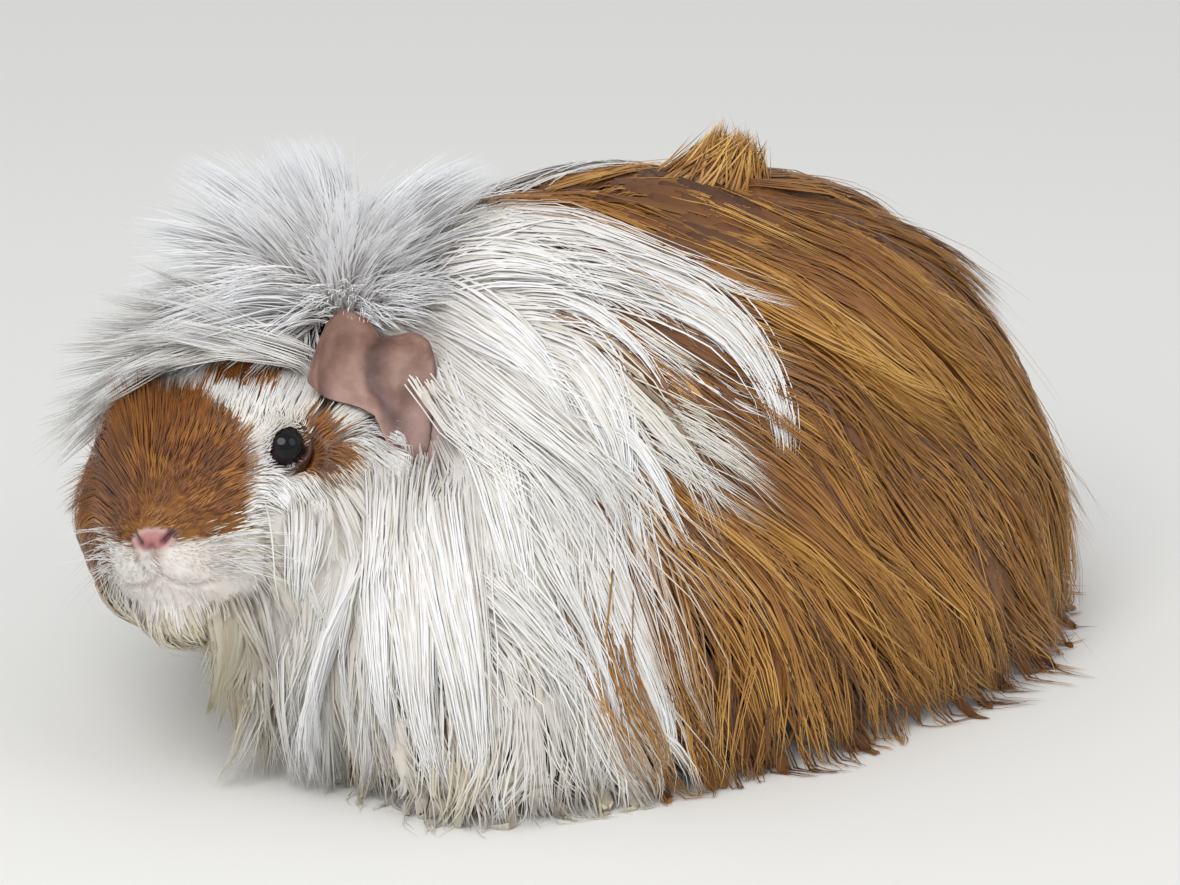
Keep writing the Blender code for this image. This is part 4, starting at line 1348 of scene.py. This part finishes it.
# %% The tuft on the back
def flame(name, count, seed):
    """Hairs that run together from a broad foot on the back up to a few points."""
    rng = np.random.default_rng(seed)
    low, high = (np.array(corner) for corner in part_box("back_tuft"))
    middle_of_foot = (low + high) / 2
    turn, out = rng.uniform(0, 2 * math.pi, count), np.sqrt(rng.uniform(0, 1, count))
    flat = np.stack([np.cos(turn) * out, np.sin(turn) * out, np.zeros(count)], 1)
    roots, normals = project(middle_of_foot + flat * (21 * MM, 15 * MM, 0) - (7 * MM, 0, 0))
    points = rng.integers(0, 5, count)
    peaks = np.array([(-4, 0, 0), (1, -4, -2), (3, 3, -4), (6, -1, -7), (-1, 4, -6)]) * MM
    tips = np.array((*middle_of_foot[:2], high[2])) + peaks[points] + rng.normal(0, 1.3 * MM, (count, 3))
    tips = roots + (tips - roots) * rng.uniform(0.6, 1.04, count)[:, None]
    bends = roots * 0.45 + tips * 0.55
    bends[:, 2] = roots[:, 2] + 0.3 * (tips[:, 2] - roots[:, 2])
    roots = roots - ROOT_DEPTH * normals
    paths = bow(roots, bends, tips)
    ups = unit(flat + 0.5 * normals + (0, 0, 0.3))
    ups = np.repeat(ups[:, None], BOW_RINGS, 1)
    numbers = white_numbers(rng.uniform(0.2, 1, count)) | {"ginger": np.ones(count)}
    piece = hair_mesh(name, paths, ups, rng.uniform(0.4, 0.85, count) * MM, np.stack([turn, out], 1), numbers)
    print(name, count, "hairs")


flame("back_tuft_hair", 1050, 71)

# %% [markdown]
# At the border of the two colours, long white locks sweep back over the ginger. They are drawn one by one:
# each follows a few named places on the flank, and its hairs start in a broad root and meet at the tip.

# %% White locks over the ginger
# Places along each lock and its breadth, in millimetres, and its number of hairs.
CROSSING_LOCKS = (
    (((-32, -20, 114), (-9, -32, 113), (8, -41, 106), (18, -50, 97), (24, -60, 84), (24, -68, 70)), 9.0, 380),
    (((-36, -26, 110), (-20, -38, 107), (-10, -49, 99), (-2, -60, 86)), 3.5, 110),
    (((-40, -34, 104), (-24, -49, 98), (-20, -62, 84), (-21, -70, 66)), 9.0, 330),
    (((-30, -55, 91), (-16, -63, 80), (-8, -70, 64)), 3.0, 90),
    (((-40, -60, 80), (-30, -75, 56), (-22, -83, 30), (-17, -88, 8)), 8.0, 260),
    (((-28, 6, 116), (-6, 10, 121), (14, 12, 124), (34, 20, 122)), 7.0, 280),
    (((-36, 30, 106), (-16, 44, 102), (0, 56, 88), (4, 64, 70)), 8.0, 300),
)


def along_curve(marks, shares):
    """Points along a smooth curve through the marks."""
    marks = np.array(marks, float) * MM
    ends = np.concatenate([[2 * marks[0] - marks[1]], marks, [2 * marks[-1] - marks[-2]]])
    place = np.clip(shares, 0, 1) * (len(marks) - 1)
    i = np.minimum(place.astype(int), len(marks) - 2)
    t = (place - i)[:, None]
    p0, p1, p2, p3 = ends[i], ends[i + 1], ends[i + 2], ends[i + 3]
    curve = 2 * p1 + (p2 - p0) * t + (2 * p0 - 5 * p1 + 4 * p2 - p3) * t**2
    return 0.5 * (curve + (3 * p1 - p0 - 3 * p2 + p3) * t**3)


LOCK_HAIR_WIDTH = 0.55
LOCK_ROOT_DEPTH = 3 * MM


def drawn_locks(name, locks, seed, rings):
    """White hairs along each lock, spread over its breadth at the root and drawn together at the tip."""
    rng = np.random.default_rng(seed)
    all_paths, all_ups = [], []
    for marks, breadth, count in locks:
        for _ in range(count):
            start, end = rng.uniform(0, 0.35), rng.uniform(0.72, 1.04)
            shares = np.linspace(start, end, rings)
            line = along_curve(marks, shares)
            ahead = unit(np.gradient(line, axis=0))
            _, normals = project(line)
            side = unit(np.cross(ahead, normals))
            spread = rng.normal(0, 0.42) * breadth * MM
            taper = (1 - 0.75 * np.clip(shares, 0, 1) ** 1.5)[:, None]
            points, normals = project(line + side * spread * taper)
            over = rng.uniform(0.8, 4.2) * MM * np.sin(math.pi * np.linspace(0.15, 1, rings)) ** 0.5
            height = over - LOCK_ROOT_DEPTH * (1 - np.linspace(0, 1, rings)) ** 6
            all_paths.append(points + normals * height[:, None])
            all_ups.append(normals)
    paths, ups = np.array(all_paths), np.array(all_ups)
    paths = above_floor(curl(paths, ups, 0.5 * MM, 40 * MM, rng.uniform(0, 2 * math.pi, len(paths))))
    count = len(paths)
    numbers = white_numbers(rng.uniform(0.1, 1, count))
    widths = rng.uniform(0.7, 1.3, count) * LOCK_HAIR_WIDTH * MM
    piece = hair_mesh(name, paths, ups, widths, body_unwrap(paths[:, 0]), numbers)
    print(name, count, "hairs")


drawn_locks("white_locks", CROSSING_LOCKS, 81, 8)

SHOULDER_LOCKS = (
    (((-62, -36, 77), (-67, -46, 71), (-72, -60, 58), (-75, -71, 42), (-76, -77, 25), (-73, -80, 6)),
     9.0, 300),
    (((-58, -46, 76), (-62, -56, 68), (-65, -72, 52), (-66, -83, 32), (-65, -87, 8)), 10.0, 330),
    (((-66, -36, 78), (-72, -46, 68), (-77, -58, 54), (-82, -68, 38), (-83, -72, 16)), 7.0, 240),
    (((-66, 36, 78), (-72, 47, 66), (-78, 60, 50), (-80, 69, 32), (-79, 73, 8)), 9.0, 240),
    (((-50, -6, 108), (-43, -21, 106), (-37, -35, 102), (-31, -49, 95), (-28, -61, 83)), 9.0, 300),
    (((-46, -6, 111), (-37, -16, 114), (-27, -24, 114), (-17, -32, 112), (-10, -42, 106)), 8.0, 240),
    (((-47, -20, 101), (-46, -33, 92), (-47, -52, 81), (-49, -68, 66), (-49, -78, 45)), 10.0, 320),
    (((-90, -44, 73), (-93, -47, 65), (-95, -48, 56), (-94, -47, 46)), 7.0, 150),
)
drawn_locks("shoulder_locks", SHOULDER_LOCKS, 83, 7)

# %% [markdown]
# The model stands on a plain pale floor in soft light from a large lamp at the upper left, with a weaker one
# to fill the shadows. The camera looks from the animal's front left, a little from above.

# %% Floor, light and camera
floor_stuff, shader = new_material("matt_paper_floor", Roughness=0.9)
shader.inputs["Base Color"].default_value = linear("#DCDAD6")
bm = bmesh.new()
bmesh.ops.create_grid(bm, x_segments=1, y_segments=1, size=4.0)
mesh = bpy.data.meshes.new("floor")
bm.to_mesh(mesh)
bm.free()
mesh.materials.append(floor_stuff)
floor = new_object("floor", mesh)

world = bpy.data.worlds.new("studio")
world.use_nodes = True
background = world.node_tree.nodes["Background"]
background.inputs["Color"].default_value = (0.94, 0.97, 1.0, 1.0)
background.inputs["Strength"].default_value = 0.78
bpy.context.scene.world = world

TARGET = Vector((3.13, 0, 57.4)) * MM


def aimed(name, data, azimuth, elevation, distance):
    """A lamp or camera that looks at the target. The angles are in degrees and the distance in metres."""
    a, e = math.radians(azimuth), math.radians(elevation)
    way = Vector((math.sin(a) * math.cos(e), -math.cos(a) * math.cos(e), math.sin(e)))
    obj = new_object(name, data)
    obj.location = TARGET + way * distance
    obj.rotation_euler = way.to_track_quat("Z", "Y").to_euler()
    return obj


# Azimuth and elevation in degrees, distance and size in metres, and power in watts.
LAMPS = (("key", -48, 44, 1.3, 0.9, 9.6), ("fill", 30, 35, 1.6, 1.2, 4.5))
for name, azimuth, elevation, distance, size, watts in LAMPS:
    lamp = bpy.data.lights.new(name, "AREA")
    lamp.shape = "DISK"
    lamp.size = size
    lamp.energy = watts
    aimed(name, lamp, azimuth, elevation, distance)

# The lens is chosen so that the picture is this many metres wide at the model.
CAMERA_DISTANCE = 1.2
VIEW_WIDTH = 0.295
SENSOR_WIDTH = 36.0
camera_data = bpy.data.cameras.new("camera")
camera_data.sensor_width = SENSOR_WIDTH
camera_data.lens = SENSOR_WIDTH * CAMERA_DISTANCE / VIEW_WIDTH
bpy.context.scene.camera = aimed("camera", camera_data, -25.0, 20.0, CAMERA_DISTANCE)
bpy.context.scene.view_settings.view_transform = "Standard"
print("lamps:", len(LAMPS), "and a camera with a lens of", round(camera_data.lens), "mm")
